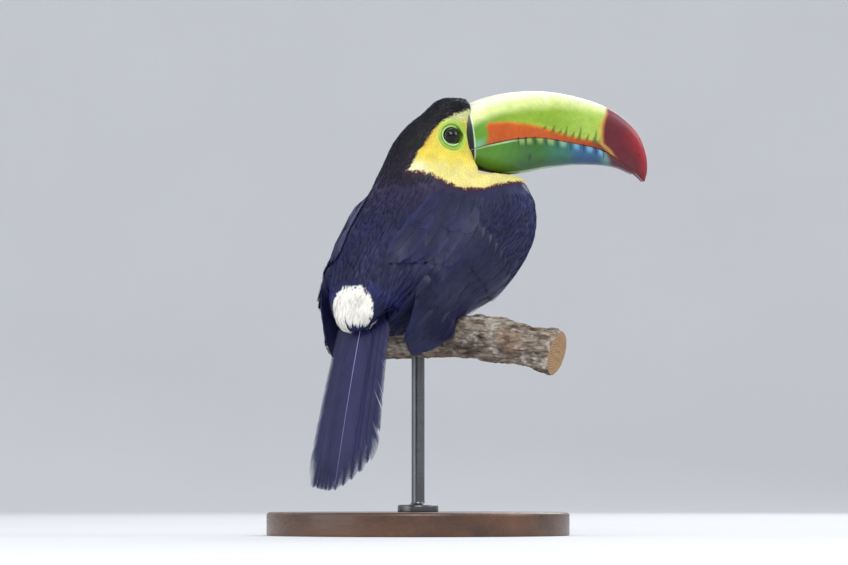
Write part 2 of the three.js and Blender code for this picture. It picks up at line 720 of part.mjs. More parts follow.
const NECK_CUT = { place: at(16, 2, 238), normal: at(-0.08, 0, 1).normalize() };
const HEAD_CUT = { place: onHead(-22, 0, -17), normal: at(0.1, 0.08, 1).normalize() };
const THIGH_RADIUS = 15.5;
const THIGH_TOP = 174;
const THIGH_BACK = -12; // forward place of the thigh's axis
const THIGH_SIDE = 21;

/** The stretch of a solid between two cuts, each kept back by half a gap. */
function between(solid, low, high) {
  const kept = low ? solid.intersect(beyondPlane(low.place, low.normal, GAP / 2)) : solid;
  return high ? kept.subtract(beyondPlane(high.place, high.normal, -GAP / 2)) : kept;
}

/** The post-shaped space that holds one feathered thigh, grown on every side by more. */
function thighSpace(side, more) {
  const bottom = PERCH_HEIGHT - 2 * PERCH_RADIUS;
  const height = THIGH_TOP + more - bottom;
  const post = new THREE.CylinderGeometry(THIGH_RADIUS + more, THIGH_RADIUS + more, height, 12);
  const place = at(THIGH_BACK, side * THIGH_SIDE, bottom + height / 2);
  return solidOf(post.rotateX(Math.PI / 2).translate(place.x, place.y, place.z));
}

/** A solid with each of the cutters taken out of it. */
function without(solid, cutters) {
  return cutters.reduce((left, cutter) => left.subtract(cutter), solid);
}

/** Adds the trunk, thighs, neck and head, cut where their neighbours are set into them. */
function addFlesh() {
  const sides = [1, -1];
  const wings = sides.map((side) => solidOf(wing(side, WING_GAP)));
  const shanks = sides.map((side) => solidOf(shank(side, 2 * GAP)));
  const eyes = sides.map((side) => solidOf(eyeGeometry(side, GAP)));
  const coarse = without(solidOf(bodySurface(bodyBox(), BODY_STEP)), [...wings, ...shanks, tailPocket()]);
  const fine = solidOf(bodySurface(headBox(), HEAD_STEP));
  const thighs = sides.map((side) => thighSpace(side, GAP));
  addPiece("trunk", mainPiece(without(between(coarse, null, NECK_CUT), thighs)), BLACK, 0.6, 0);
  addPiece("thigh_right", mainPiece(coarse.intersect(thighSpace(1, 0))), BLACK, 0.6, 0);
  addPiece("thigh_left", mainPiece(coarse.intersect(thighSpace(-1, 0))), BLACK, 0.6, 0);
  addPiece("neck", mainPiece(without(between(fine, NECK_CUT, HEAD_CUT), wings)), BLACK, 0.6, 0);
  const bills = [solidOf(billUpper(2 * GAP)), solidOf(billLower(2 * GAP))];
  const head = without(between(fine, HEAD_CUT, null), [...bills, ...eyes]);
  addPiece("head", mainPiece(head), YELLOW, 0.65, 0);
}

/** The eyeball on one side, with its radius grown by more. */
function eyeGeometry(side, more) {
  const ball = new THREE.SphereGeometry(EYE_RADIUS + more, 12, 8);
  const inside = onHead(EYE_PLACE.along, 0, EYE_PLACE.up);
  const outward = at(0, side, 0).applyQuaternion(headTurn);
  const place = inside.clone().addScaledVector(outward, rayToSurface(inside, outward) - EYE_SINK);
  return ball.translate(place.x, place.y, place.z);
}

/** Builds the whole model. */
function build() {
  addFlesh();
  addPiece("bill_upper", billUpper(0), BILL_GREEN, 0.35, 0);
  addPiece("bill_lower", billLower(0), BILL_BLUE, 0.35, 0);
  addPiece("eye_right", eyeGeometry(1, 0), EYE_DARK, 0.1, 0);
  addPiece("eye_left", eyeGeometry(-1, 0), EYE_DARK, 0.1, 0);
  addPiece("wing_right", wingSolid(1), BLACK, 0.55, 0);
  addPiece("wing_left", wingSolid(-1), BLACK, 0.55, 0);
  addPiece("tail", tailSolid(), BLACK, 0.55, 0);
  addPiece("foot_right", footSolid(1), LEG_BLUE, 0.6, 0);
  addPiece("foot_left", footSolid(-1), LEG_BLUE, 0.6, 0);
  for (const toe of TOES) {
    addPiece(`claw_right_${toe.name}`, claw(toe, 1), CLAW_DARK, 0.4, 0);
    addPiece(`claw_left_${toe.name}`, claw(toe, -1), CLAW_DARK, 0.4, 0);
  }
  addPiece("perch", perchSolid().subtract(solidOf(rodGeometry(GAP))), BARK, 0.9, 0);
  addPiece("stand_rod", rodGeometry(0), STEEL, 0.35, 0.9);
  addPiece("stand_base", baseGeometry(), WALNUT, 0.45, 0);
}

build();

export default toucan;
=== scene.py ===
"""The looks of a keel-billed toucan: a still, life-size model on a cut branch over a plain stand.

Sizes inside this file are in millimetres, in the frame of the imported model. They become metres
when a mesh is made. The bird faces -Y, its right side is -X, and its head is turned to its right.
"""
import json
import logging
import math
from dataclasses import dataclass, field
from enum import Enum
from typing import Callable

import bpy
import numpy as np
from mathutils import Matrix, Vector
from mathutils.bvhtree import BVHTree

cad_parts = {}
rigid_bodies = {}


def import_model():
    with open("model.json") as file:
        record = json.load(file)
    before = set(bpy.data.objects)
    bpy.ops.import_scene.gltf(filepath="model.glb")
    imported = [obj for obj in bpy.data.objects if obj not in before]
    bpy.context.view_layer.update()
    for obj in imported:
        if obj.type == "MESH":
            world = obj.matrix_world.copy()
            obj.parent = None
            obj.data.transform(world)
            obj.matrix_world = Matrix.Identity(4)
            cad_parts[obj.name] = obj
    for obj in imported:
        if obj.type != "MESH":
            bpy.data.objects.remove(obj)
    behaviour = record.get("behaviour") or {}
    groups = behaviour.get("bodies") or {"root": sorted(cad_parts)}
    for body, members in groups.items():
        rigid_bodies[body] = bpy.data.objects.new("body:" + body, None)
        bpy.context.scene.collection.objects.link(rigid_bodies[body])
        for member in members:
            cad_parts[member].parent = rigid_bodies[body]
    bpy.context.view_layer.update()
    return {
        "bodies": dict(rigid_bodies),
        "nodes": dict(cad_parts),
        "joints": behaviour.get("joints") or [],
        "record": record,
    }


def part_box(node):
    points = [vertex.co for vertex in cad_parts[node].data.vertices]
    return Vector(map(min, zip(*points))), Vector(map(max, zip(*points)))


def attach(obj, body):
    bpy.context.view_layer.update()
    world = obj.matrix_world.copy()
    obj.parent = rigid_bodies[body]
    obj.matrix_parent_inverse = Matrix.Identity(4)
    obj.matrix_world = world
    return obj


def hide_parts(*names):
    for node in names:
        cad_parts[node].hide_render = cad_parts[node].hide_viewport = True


MM = 0.001
BAKE_MAP = "OFBake"
BAKE_PATCH = 0.003
FINE_MERGE = 0.004

logging.basicConfig(level=logging.INFO, format="%(message)s")
log = logging.getLogger("toucan")


# ---------------------------------------------------------------- numbers and places
def at(forward: float, right: float, up: float) -> np.ndarray:
    """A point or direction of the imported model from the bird's own axes."""
    return np.array([-right, -forward, up], float)


def unit(vectors: np.ndarray) -> np.ndarray:
    """The vectors, each brought to length one."""
    return vectors / np.maximum(np.linalg.norm(vectors, axis=-1, keepdims=True), 1e-9)


def ramp(low: float | np.ndarray, high: float | np.ndarray, value: np.ndarray) -> np.ndarray:
    """A smooth step from 0 at low to 1 at high."""
    share = np.clip((value - low) / (high - low), 0, 1)
    return share * share * (3 - 2 * share)


def mix(first: np.ndarray, second: np.ndarray, share: np.ndarray) -> np.ndarray:
    """Colours part of the way from the first to the second."""
    part = np.asarray(share, float)[..., None]
    return first * (1 - part) + second * part


def rgb(red: int, green: int, blue: int) -> np.ndarray:
    """A linear colour from its display values out of 255."""
    share = np.array([red, green, blue], float) / 255
    return np.where(share <= 0.04045, share / 12.92, ((share + 0.055) / 1.055) ** 2.4)


def waver(points: np.ndarray, size: float, seed: int) -> np.ndarray:
    """A smooth noise from about -1 to 1 whose bumps are about size across.

    Args:
        points: Places, one to a row.
        size: How far apart the bumps are.
        seed: Which noise it is.

    Returns:
        One value for each place.
    """
    rng = np.random.default_rng(seed)
    waves = unit(rng.normal(size=(9, points.shape[-1]))) * (2 * math.pi / size)
    waves *= rng.uniform(0.6, 1.7, (9, 1))
    turns = rng.uniform(0, 2 * math.pi, 9)
    return np.sin(points @ waves.T + turns).sum(-1) / 3.2


def smooth_curve(knots: list[tuple[float, ...]], count: int) -> np.ndarray:
    """Evenly spaced points on a smooth curve through the knots.

    Args:
        knots: The points that the curve passes through.
        count: How many points are returned.

    Returns:
        The points, one to a row.
    """
    given = np.array(knots, float)
    ends = [2 * given[0] - given[1]], [2 * given[-1] - given[-2]]
    full = np.concatenate([ends[0], given, ends[1]])
    dense = []
    for i in range(len(given) - 1):
        a, b, c, d = full[i:i + 4]
        t = np.linspace(0, 1, 24, endpoint=False)[:, None]
        bend = 2 * b + (c - a) * t + (2 * a - 5 * b + 4 * c - d) * t**2 + (3 * b - a - 3 * c + d) * t**3
        dense.append(0.5 * bend)
    line = np.concatenate(dense + [given[-1:]])
    run = np.concatenate([[0], np.cumsum(np.linalg.norm(np.diff(line, axis=0), axis=1))])
    spots = np.linspace(0, run[-1], count)
    return np.stack([np.interp(spots, run, line[:, k]) for k in range(line.shape[1])], 1)


def through(pairs: list[tuple[float, float]], value: np.ndarray) -> np.ndarray:
    """The value of a line through pairs of (place, value)."""
    return np.interp(value, [pair[0] for pair in pairs], [pair[1] for pair in pairs])


@dataclass(frozen=True)
class HeadFrame:
    """The head's own axes: along the bill, out to the bird's right, and up."""

    turn: float = 42.0
    forward: float = 28.0
    right: float = 17.0
    up: float = 275.0

    def axes(self) -> np.ndarray:
        """The three axes as rows: along, side and up.

        Returns:
            Three unit rows in the frame of the model.
        """
        angle = math.radians(self.turn)
        along = at(math.cos(angle), math.sin(angle), 0)
        side = at(-math.sin(angle), math.cos(angle), 0)
        return np.stack([along, side, at(0, 0, 1)])

    def root(self) -> np.ndarray:
        """The middle of the bill's root."""
        return at(self.forward, self.right, self.up)

    def of(self, points: np.ndarray) -> np.ndarray:
        """Points of the model in the head's axes."""
        return (points - self.root()) @ self.axes().T

    def place(self, points: np.ndarray) -> np.ndarray:
        """Points of the head's axes in the model."""
        return np.asarray(points, float) @ self.axes() + self.root()


HEAD = HeadFrame()
EYE_ALONG, EYE_UP = -11.8, -0.3
EYE_RADIUS = 6.6


# ---------------------------------------------------------------- meshes
def clear_selection() -> None:
    """Leaves nothing selected, so that an operator acts only on what is picked next."""
    bpy.ops.object.select_all(action="DESELECT")


def pick(piece: bpy.types.Object) -> None:
    """Makes one object the selected and active one.

    Args:
        piece: The object.
    """
    clear_selection()
    piece.select_set(True)
    bpy.context.view_layer.objects.active = piece


def points_of(piece: bpy.types.Object) -> np.ndarray:
    """The vertices of a mesh in millimetres.

    Args:
        piece: The mesh object.

    Returns:
        The vertices, one to a row.
    """
    flat = np.zeros(len(piece.data.vertices) * 3, np.float32)
    piece.data.vertices.foreach_get("co", flat)
    return flat.reshape(-1, 3).astype(float) / MM


def set_points(piece: bpy.types.Object, points: np.ndarray) -> None:
    """Moves the vertices of a mesh to places given in millimetres."""
    piece.data.vertices.foreach_set("co", (points * MM).astype(np.float32).ravel())
    piece.data.update()


def mesh_piece(name: str, points: np.ndarray, quads: np.ndarray) -> bpy.types.Object:
    """A new mesh object.

    Args:
        name: The piece's name.
        points: Its vertices in millimetres.
        quads: The four vertices of each face.

    Returns:
        The object, linked to the scene, at the origin.
    """
    mesh = bpy.data.meshes.new(name)
    mesh.vertices.add(len(points))
    mesh.vertices.foreach_set("co", (points * MM).astype(np.float32).ravel())
    mesh.loops.add(quads.size)
    mesh.loops.foreach_set("vertex_index", quads.astype(np.int32).ravel())
    mesh.polygons.add(len(quads))
    mesh.polygons.foreach_set("loop_start", np.arange(0, quads.size, 4, dtype=np.int32))
    mesh.update(calc_edges=True)
    mesh.polygons.foreach_set("use_smooth", np.ones(len(quads), bool))
    piece = bpy.data.objects.new(name, mesh)
    bpy.context.scene.collection.objects.link(piece)
    return piece


def grid_piece(name: str, rows: int, columns: int) -> bpy.types.Object:
    """A flat grid of vertices, to be shaped afterwards.

    Args:
        name: The piece's name.
        rows: How many rows it has, stored one after another.
        columns: How many vertices each row has.

    Returns:
        The object, shaded smooth.
    """
    clear_selection()
    bpy.ops.mesh.primitive_grid_add(x_subdivisions=columns - 1, y_subdivisions=rows - 1, size=1)
    piece = bpy.context.object
    piece.name = piece.data.name = name
    bpy.ops.object.shade_smooth()
    return piece


def paint(piece: bpy.types.Object, colours: np.ndarray, name: str = "paint") -> None:
    """Stores one linear colour for each vertex.

    Args:
        piece: The mesh object.
        colours: The colours, one to a row.
        name: The attribute that holds them.
    """
    attribute = piece.data.attributes.new(name, "FLOAT_COLOR", "POINT")
    full = np.ones((len(colours), 4), np.float32)
    full[:, :3] = np.clip(colours, 0, 1)
    attribute.data.foreach_set("color", full.ravel())


def store(piece: bpy.types.Object, name: str, values: np.ndarray) -> None:
    """Stores one number for each vertex."""
    attribute = piece.data.attributes.new(name, "FLOAT", "POINT")
    attribute.data.foreach_set("value", np.asarray(values, np.float32))


def store_uv(piece: bpy.types.Object, spots: np.ndarray) -> None:
    """Stores the bake map.

    Args:
        piece: The mesh object.
        spots: One UV place for each vertex.
    """
    layer = piece.data.uv_layers.new(name=BAKE_MAP)
    corners = np.zeros(len(piece.data.loops), np.int32)
    piece.data.loops.foreach_get("vertex_index", corners)
    layer.data.foreach_set("uv", np.clip(spots, 0, 1)[corners].astype(np.float32).ravel())


def apply_modifier(piece: bpy.types.Object, kind: str, **settings: object) -> None:
    """Adds a modifier and applies it.

    Args:
        piece: The mesh object.
        kind: The modifier's type.
        settings: Its own properties.
    """
    pick(piece)
    modifier = piece.modifiers.new(kind.title(), kind)
    for key, value in settings.items():
        setattr(modifier, key, value)
    bpy.ops.object.modifier_apply(modifier=modifier.name)


def edit_whole(piece: bpy.types.Object, *steps: Callable[[], object]) -> None:
    """Runs mesh operators on all of a piece.

    Args:
        piece: The mesh object.
        steps: The operators' calls, in order.
    """
    pick(piece)
    bpy.ops.object.mode_set(mode="EDIT")
    bpy.ops.mesh.select_all(action="SELECT")
    for step in steps:
        step()
    bpy.ops.object.mode_set(mode="OBJECT")


def tidy_normals(piece: bpy.types.Object, merge: float = 0.01) -> None:
    """Merges doubles and turns every face outwards.

    Args:
        piece: The mesh object.
        merge: How near two vertices are, in millimetres, to be made one.
    """
    edit_whole(piece, lambda: bpy.ops.mesh.remove_doubles(threshold=merge * MM),
               lambda: bpy.ops.mesh.normals_make_consistent(inside=False))


def turned_piece(
    name: str, outline: np.ndarray, sides: int, merge: float = FINE_MERGE
) -> bpy.types.Object:
    """A piece turned about the upright axis.

    Args:
        name: The piece's name.
        outline: Radius and height in millimetres, one pair to a row.
        sides: How many sides it has.
        merge: How near two vertices are to be made one.

    Returns:
        The piece, its faces turned outwards.
    """
    angle = np.linspace(0, 2 * math.pi, sides + 1)
    ring = np.stack([np.cos(angle), np.sin(angle)], -1)
    flat = outline[:, None, :1] * ring[None]
    height = np.broadcast_to(outline[:, None, 1:], (len(outline), len(angle), 1))
    piece = grid_piece(name, len(outline), len(angle))
    set_points(piece, np.concatenate([flat, height], -1).reshape(-1, 3))
    tidy_normals(piece, merge)
    return piece


def settle_in(piece: bpy.types.Object, slot: str, finish: bpy.types.Material, *nodes: str) -> None:
    """Gives a piece its finish and its body.

    Args:
        piece: The mesh object.
        slot: Not used.
        finish: Its material.
        nodes: The CAD nodes that it stands for.
    """
    piece.data.materials.clear()
    piece.data.materials.append(finish)
    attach(piece, "root")
    if nodes:
        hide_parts(*nodes)
    log.info("%s: %d faces", piece.name, len(piece.data.polygons))


def tube(
    points: np.ndarray, radii: np.ndarray, sides: int, flat: float = 1.0
) -> tuple[np.ndarray, np.ndarray]:
    """A tube round a line, open at both ends.

    Args:
        points: The line's points, one to a row.
        radii: The tube's radius at each point.
        sides: How many sides it has.
        flat: Its height as a share of its width.

    Returns:
        The vertices, and the faces as four vertices each.
    """
    forward = unit(np.gradient(points, axis=0))
    start = np.array([0.0, 0.0, 1.0]) if abs(forward[0][2]) < 0.9 else np.array([1.0, 0.0, 0.0])
    ups = [unit(start - forward[0] * (start @ forward[0]))]
    for direction in forward[1:]:
        ups.append(unit(ups[-1] - direction * (ups[-1] @ direction)))
    up = np.stack(ups)
    side = np.cross(forward, up)
    angle = np.linspace(0, 2 * math.pi, sides, endpoint=False)
    ring = side[:, None] * np.cos(angle)[:, None] + up[:, None] * (np.sin(angle)[:, None] * flat)
    body = points[:, None] + ring * radii[:, None, None]
    i, j = np.meshgrid(np.arange(len(points) - 1), np.arange(sides), indexing="ij")
    k = (j + 1) % sides
    quads = np.stack([i * sides + j, (i + 1) * sides + j, (i + 1) * sides + k, i * sides + k], -1)
    return body.reshape(-1, 3), quads.reshape(-1, 4)


def joined(parts: list[tuple[np.ndarray, np.ndarray]]) -> tuple[np.ndarray, np.ndarray]:
    """Several sets of vertices and faces as one.

    Args:
        parts: The vertices and faces of each.

    Returns:
        All the vertices, and all the faces.
    """
    starts = np.cumsum([0] + [len(points) for points, _ in parts])
    quads = [faces + start for (_, faces), start in zip(parts, starts)]
    return np.concatenate([points for points, _ in parts]), np.concatenate(quads)


# ---------------------------------------------------------------- finishes
class Graph:
    """Builds one node material, node by node."""

    def __init__(self, name: str) -> None:
        """Starts an empty material with its output.

        Args:
            name: The name of the material.
        """
        self.material = bpy.data.materials.new(name)
        self.material.use_nodes = True
        self.tree = self.material.node_tree
        self.tree.nodes.clear()
        self.output = self.tree.nodes.new("ShaderNodeOutputMaterial")

    def node(
        self, kind: str, inputs: dict[str | int, object] | None = None, **settings: object
    ) -> bpy.types.Node:
        """Adds a node.

        Args:
            kind: Its type, without the word ShaderNode.
            inputs: Its sockets, each with a value or the socket that feeds it.
            settings: Its own properties.

        Returns:
            The node.
        """
        node = self.tree.nodes.new("ShaderNode" + kind)
        for key, value in settings.items():
            setattr(node, key, value)
        for key, value in (inputs or {}).items():
            if isinstance(value, bpy.types.NodeSocket):
                self.tree.links.new(value, node.inputs[key])
            else:
                node.inputs[key].default_value = value
        return node

    def read(self, name: str, socket: str = "Color") -> bpy.types.NodeSocket:
        """The value of a mesh attribute."""
        return self.node("Attribute", attribute_name=name).outputs[socket]

    def noise(self, scale: float, detail: float = 3.0, stretch: tuple[float, float, float] = (1, 1, 1),
              turn: tuple[float, float, float] = (0, 0, 0)) -> bpy.types.NodeSocket:
        """A noise over the object's own space.

        Args:
            scale: Its bumps to a metre.
            detail: How many finer layers it has.
            stretch: How the space is scaled first.
            turn: How the space is turned first, in radians.

        Returns:
            The socket of its value.
        """
        place = self.node("TexCoord").outputs["Object"]
        mapping = self.node("Mapping", {"Vector": place, "Scale": stretch, "Rotation": turn})
        texture = self.node("TexNoise", {"Vector": mapping.outputs[0], "Scale": scale, "Detail": detail})
        return texture.outputs["Fac"]

    def span(self, value: bpy.types.NodeSocket, low: float, high: float,
             start: float = 0.3, end: float = 0.7) -> bpy.types.NodeSocket:
        """A value carried from the span start to end over to low to high."""
        inputs = {"Value": value, "From Min": start, "From Max": end, "To Min": low, "To Max": high}
        return self.node("MapRange", inputs).outputs["Result"]

    def scaled(self, colour: bpy.types.NodeSocket, by: bpy.types.NodeSocket) -> bpy.types.NodeSocket:
        """A colour made lighter or darker."""
        return self.node("VectorMath", {0: colour, "Scale": by}, operation="SCALE").outputs[0]

    def times(self, first: object, second: object) -> bpy.types.NodeSocket:
        """The product of two values."""
        return self.node("Math", {0: first, 1: second}, operation="MULTIPLY").outputs[0]

    def blend(self, share: object, first: object, second: object) -> bpy.types.NodeSocket:
        """A colour part of the way from the first to the second."""
        return self.node("Mix", {0: share, 6: first, 7: second}, data_type="RGBA").outputs[2]

    def bump(
        self, height: bpy.types.NodeSocket, distance: float, strength: float = 1.0
    ) -> bpy.types.NodeSocket:
        """A bumped normal, its depth in millimetres."""
        inputs = {"Height": height, "Distance": distance * MM, "Strength": strength}
        return self.node("Bump", inputs).outputs[0]

    def finish(self, inputs: dict[str | int, object]) -> bpy.types.Material:
        """Closes the material with the main shader.

        Args:
            inputs: The values or sockets that feed the shader.

        Returns:
            The material.
        """
        shader = self.node("BsdfPrincipled", inputs)
        self.tree.links.new(shader.outputs[0], self.output.inputs[0])
        return self.material


def linear(red: int, green: int, blue: int) -> tuple[float, float, float, float]:
    """A colour for a shader's socket from its display values out of 255."""
    return (*rgb(red, green, blue), 1.0)


@dataclass(frozen=True)
class Plumage:
    """Feathers whose colour is painted on the mesh, each a little lighter or darker."""

    name: str
    roughness: tuple[float, float] = (0.42, 0.6)
    sheen: float = 0.12
    sheen_tint: tuple[int, int, int] = (110, 125, 255)
    variation: float = 0.11
    specular: float = 0.25

    def material(self) -> bpy.types.Material:
        """The finished material.

        Returns:
            The material, ready for a piece.
        """
        graph = Graph(self.name)
        tone = graph.span(graph.read("tone", "Fac"), 1 - self.variation, 1 + self.variation, -1, 1)
        cloud = graph.span(graph.noise(70, 3), 0.86, 1.14)
        fine = graph.noise(1900, 2)
        streak = graph.span(fine, 0.9, 1.1)
        colour = graph.scaled(graph.read("paint"), graph.times(graph.times(tone, cloud), streak))
        rough = graph.span(graph.noise(160, 2), *self.roughness)
        return graph.finish({
            "Base Color": colour,
            "Roughness": rough,
            "Specular IOR Level": self.specular,
            "Sheen Weight": self.sheen,
            "Sheen Roughness": 0.35,
            "Sheen Tint": linear(*self.sheen_tint),
            "Normal": graph.bump(fine, 0.05, 0.5),
        })


@dataclass(frozen=True)
class Horn:
    """The bill's polished horn, painted on the mesh, with faint streaks and shallow dents."""

    name: str
    roughness: tuple[float, float] = (0.27, 0.42)

    def material(self) -> bpy.types.Material:
        """The finished material.

        Returns:
            The material, ready for a piece.
        """
        graph = Graph(self.name)
        turn = (0, 0, math.radians(48))
        streaks = graph.noise(260, 4, (0.12, 1, 1), turn)
        cloud = graph.noise(55, 3)
        tone = graph.times(graph.span(streaks, 0.9, 1.1), graph.span(cloud, 0.92, 1.07))
        return graph.finish({
            "Base Color": graph.scaled(graph.read("paint"), tone),
            "Roughness": graph.span(graph.noise(120, 3), *self.roughness),
            "Coat Weight": 0.14,
            "Coat Roughness": 0.15,
            "Subsurface Weight": 0.05,
            "Subsurface Radius": (0.002, 0.0014, 0.0008),
            "Normal": graph.bump(graph.noise(420, 4, (0.2, 1, 1), turn), 0.12, 0.5),
        })


@dataclass(frozen=True)
class Wet:
    """The eyeball's clear, wet surface over its painted iris."""

    name: str

    def material(self) -> bpy.types.Material:
        """The finished material.

        Returns:
            The material, ready for a piece.
        """
        graph = Graph(self.name)
        fibres = graph.span(graph.noise(1500, 4), 0.8, 1.25)
        return graph.finish({
            "Base Color": graph.scaled(graph.read("paint"), fibres),
            "Roughness": 0.2,
            "Specular IOR Level": 0.1,
            "Coat Weight": 0.55,
            "Coat Roughness": 0.015,
            "Coat IOR": 1.45,
        })


@dataclass(frozen=True)
class Leathery:
    """Bare skin or scales painted on the mesh, with fine grain."""

    name: str
    grain: float = 900.0
    depth: float = 0.12
    roughness: tuple[float, float] = (0.4, 0.55)
    subsurface: float = 0.08

    def material(self) -> bpy.types.Material:
        """The finished material.

        Returns:
            The material, ready for a piece.
        """
        graph = Graph(self.name)
        grain = graph.noise(self.grain, 4)
        tone = graph.times(graph.span(grain, 0.88, 1.1), graph.span(graph.noise(140, 3), 0.9, 1.1))
        return graph.finish({
            "Base Color": graph.scaled(graph.read("paint"), tone),
            "Roughness": graph.span(grain, *self.roughness),
            "Subsurface Weight": self.subsurface,
            "Subsurface Radius": (0.002, 0.001, 0.0006),
            "Normal": graph.bump(grain, self.depth),
        })


@dataclass(frozen=True)
class Bark:
    """Pale weathered bark with dark cracks, peeled patches and grey lichen."""

    name: str = "pale_bark"

    def material(self) -> bpy.types.Material:
        """The finished material.

        Returns:
            The material, ready for a piece.
        """
        graph = Graph(self.name)
        ribs = graph.noise(210, 9, (0.25, 1, 1))
        patches = graph.noise(38, 6)
        lichen = graph.noise(110, 8)
        base = graph.blend(graph.span(ribs, 0, 1, 0.36, 0.64), linear(88, 76, 68), linear(160, 146, 132))
        worn = graph.blend(graph.span(patches, 0, 0.6, 0.5, 0.66), base, linear(136, 106, 86))
        grey = graph.blend(graph.span(lichen, 0, 0.7, 0.53, 0.66), worn, linear(186, 182, 170))
        cracks = graph.span(graph.noise(520, 8, (0.35, 1, 1)), 0.5, 1.15, 0.36, 0.56)
        return graph.finish({
            "Base Color": graph.scaled(grey, cracks),
            "Roughness": graph.span(ribs, 0.95, 0.75),
            "Specular IOR Level": 0.25,
            "Normal": graph.bump(graph.noise(330, 10, (0.4, 1, 1)), 1.8),
        })


@dataclass(frozen=True)
class CutWood:
    """The sawn end of the branch, with its rings and rays."""

    name: str = "cut_wood"
    centre: tuple[float, float, float] = (0.0, 0.0, 0.136)

    def material(self) -> bpy.types.Material:
        """The finished material.

        Returns:
            The material, ready for a piece.
        """
        graph = Graph(self.name)
        place = graph.node("TexCoord").outputs["Object"]
        moved = graph.node("Mapping", {"Vector": place, "Location": tuple(-x for x in self.centre)})
        rings = graph.node(
            "TexWave",
            {"Vector": moved.outputs[0], "Scale": 190.0, "Distortion": 5.0, "Detail": 3.0,
             "Detail Scale": 0.4},
            wave_type="RINGS", rings_direction="X",
        ).outputs["Fac"]
        colour = graph.blend(graph.span(rings, 0, 1, 0.1, 0.9), linear(186, 152, 112), linear(139, 103, 70))
        return graph.finish({
            "Base Color": graph.scaled(colour, graph.span(graph.noise(300, 5), 0.8, 1.12)),
            "Roughness": 0.8,
            "Normal": graph.bump(rings, 0.2, 0.5),
        })


@dataclass(frozen=True)
class Metal:
    """Dark satin metal with a fine lathe grain round its axis."""

    name: str
    colour: tuple[int, int, int] = (118, 118, 120)

    def material(self) -> bpy.types.Material:
        """The finished material.

        Returns:
            The material, ready for a piece.
        """
        graph = Graph(self.name)
        grain = graph.noise(900, 3, (0.05, 0.05, 1))
        return graph.finish({
            "Base Color": graph.scaled(
                graph.blend(graph.noise(30, 2), linear(*self.colour), linear(92, 92, 96)),
                graph.span(grain, 0.92, 1.08)),
            "Metallic": 1.0,
            "Roughness": graph.span(grain, 0.26, 0.42),
            "Normal": graph.bump(grain, 0.02, 0.4),
        })


@dataclass(frozen=True)
class StainedWood:
    """A satin-lacquered hardwood base with a long grain."""

    name: str = "stained_wood"

    def material(self) -> bpy.types.Material:
        """The finished material.

        Returns:
            The material, ready for a piece.
        """
        graph = Graph(self.name)
        bands = graph.noise(38, 6, (0.12, 1, 1))
        pores = graph.noise(620, 4, (0.05, 1, 1))
        colour = graph.blend(graph.span(bands, 0, 1), linear(58, 36, 24), linear(112, 72, 46))
        return graph.finish({
            "Base Color": graph.scaled(colour, graph.span(pores, 0.75, 1.1)),
            "Roughness": graph.span(pores, 0.5, 0.32),
            "Coat Weight": 0.35,
            "Coat Roughness": 0.2,
            "Normal": graph.bump(pores, 0.08, 0.6),
        })


@dataclass(frozen=True)
class Paper:
    """The plain pale sweep that the model stands on."""

    name: str = "pale_paper"

    def material(self) -> bpy.types.Material:
        """The finished material.

        Returns:
            The material, ready for a piece.
        """
        graph = Graph(self.name)
        tone = graph.span(graph.noise(2.5, 3), 0.985, 1.01)
        colour = graph.blend(graph.noise(1.1, 2), linear(214, 215, 218), linear(218, 219, 222))
        return graph.finish({
            "Base Color": graph.scaled(colour, tone),
            "Roughness": 0.85,
            "Normal": graph.bump(graph.noise(900, 2), 0.05, 0.3),
        })


# ---------------------------------------------------------------- markings
class Mark(Enum):
    """The kinds of surface that the skin is divided into."""

    BARE = 0
    FACE = 1
    BAND = 2
    CAP = 3
    WHITE = 4
    RED = 5
    WING = 6
    THIGH = 7
    BACK = 8
    BREAST = 9


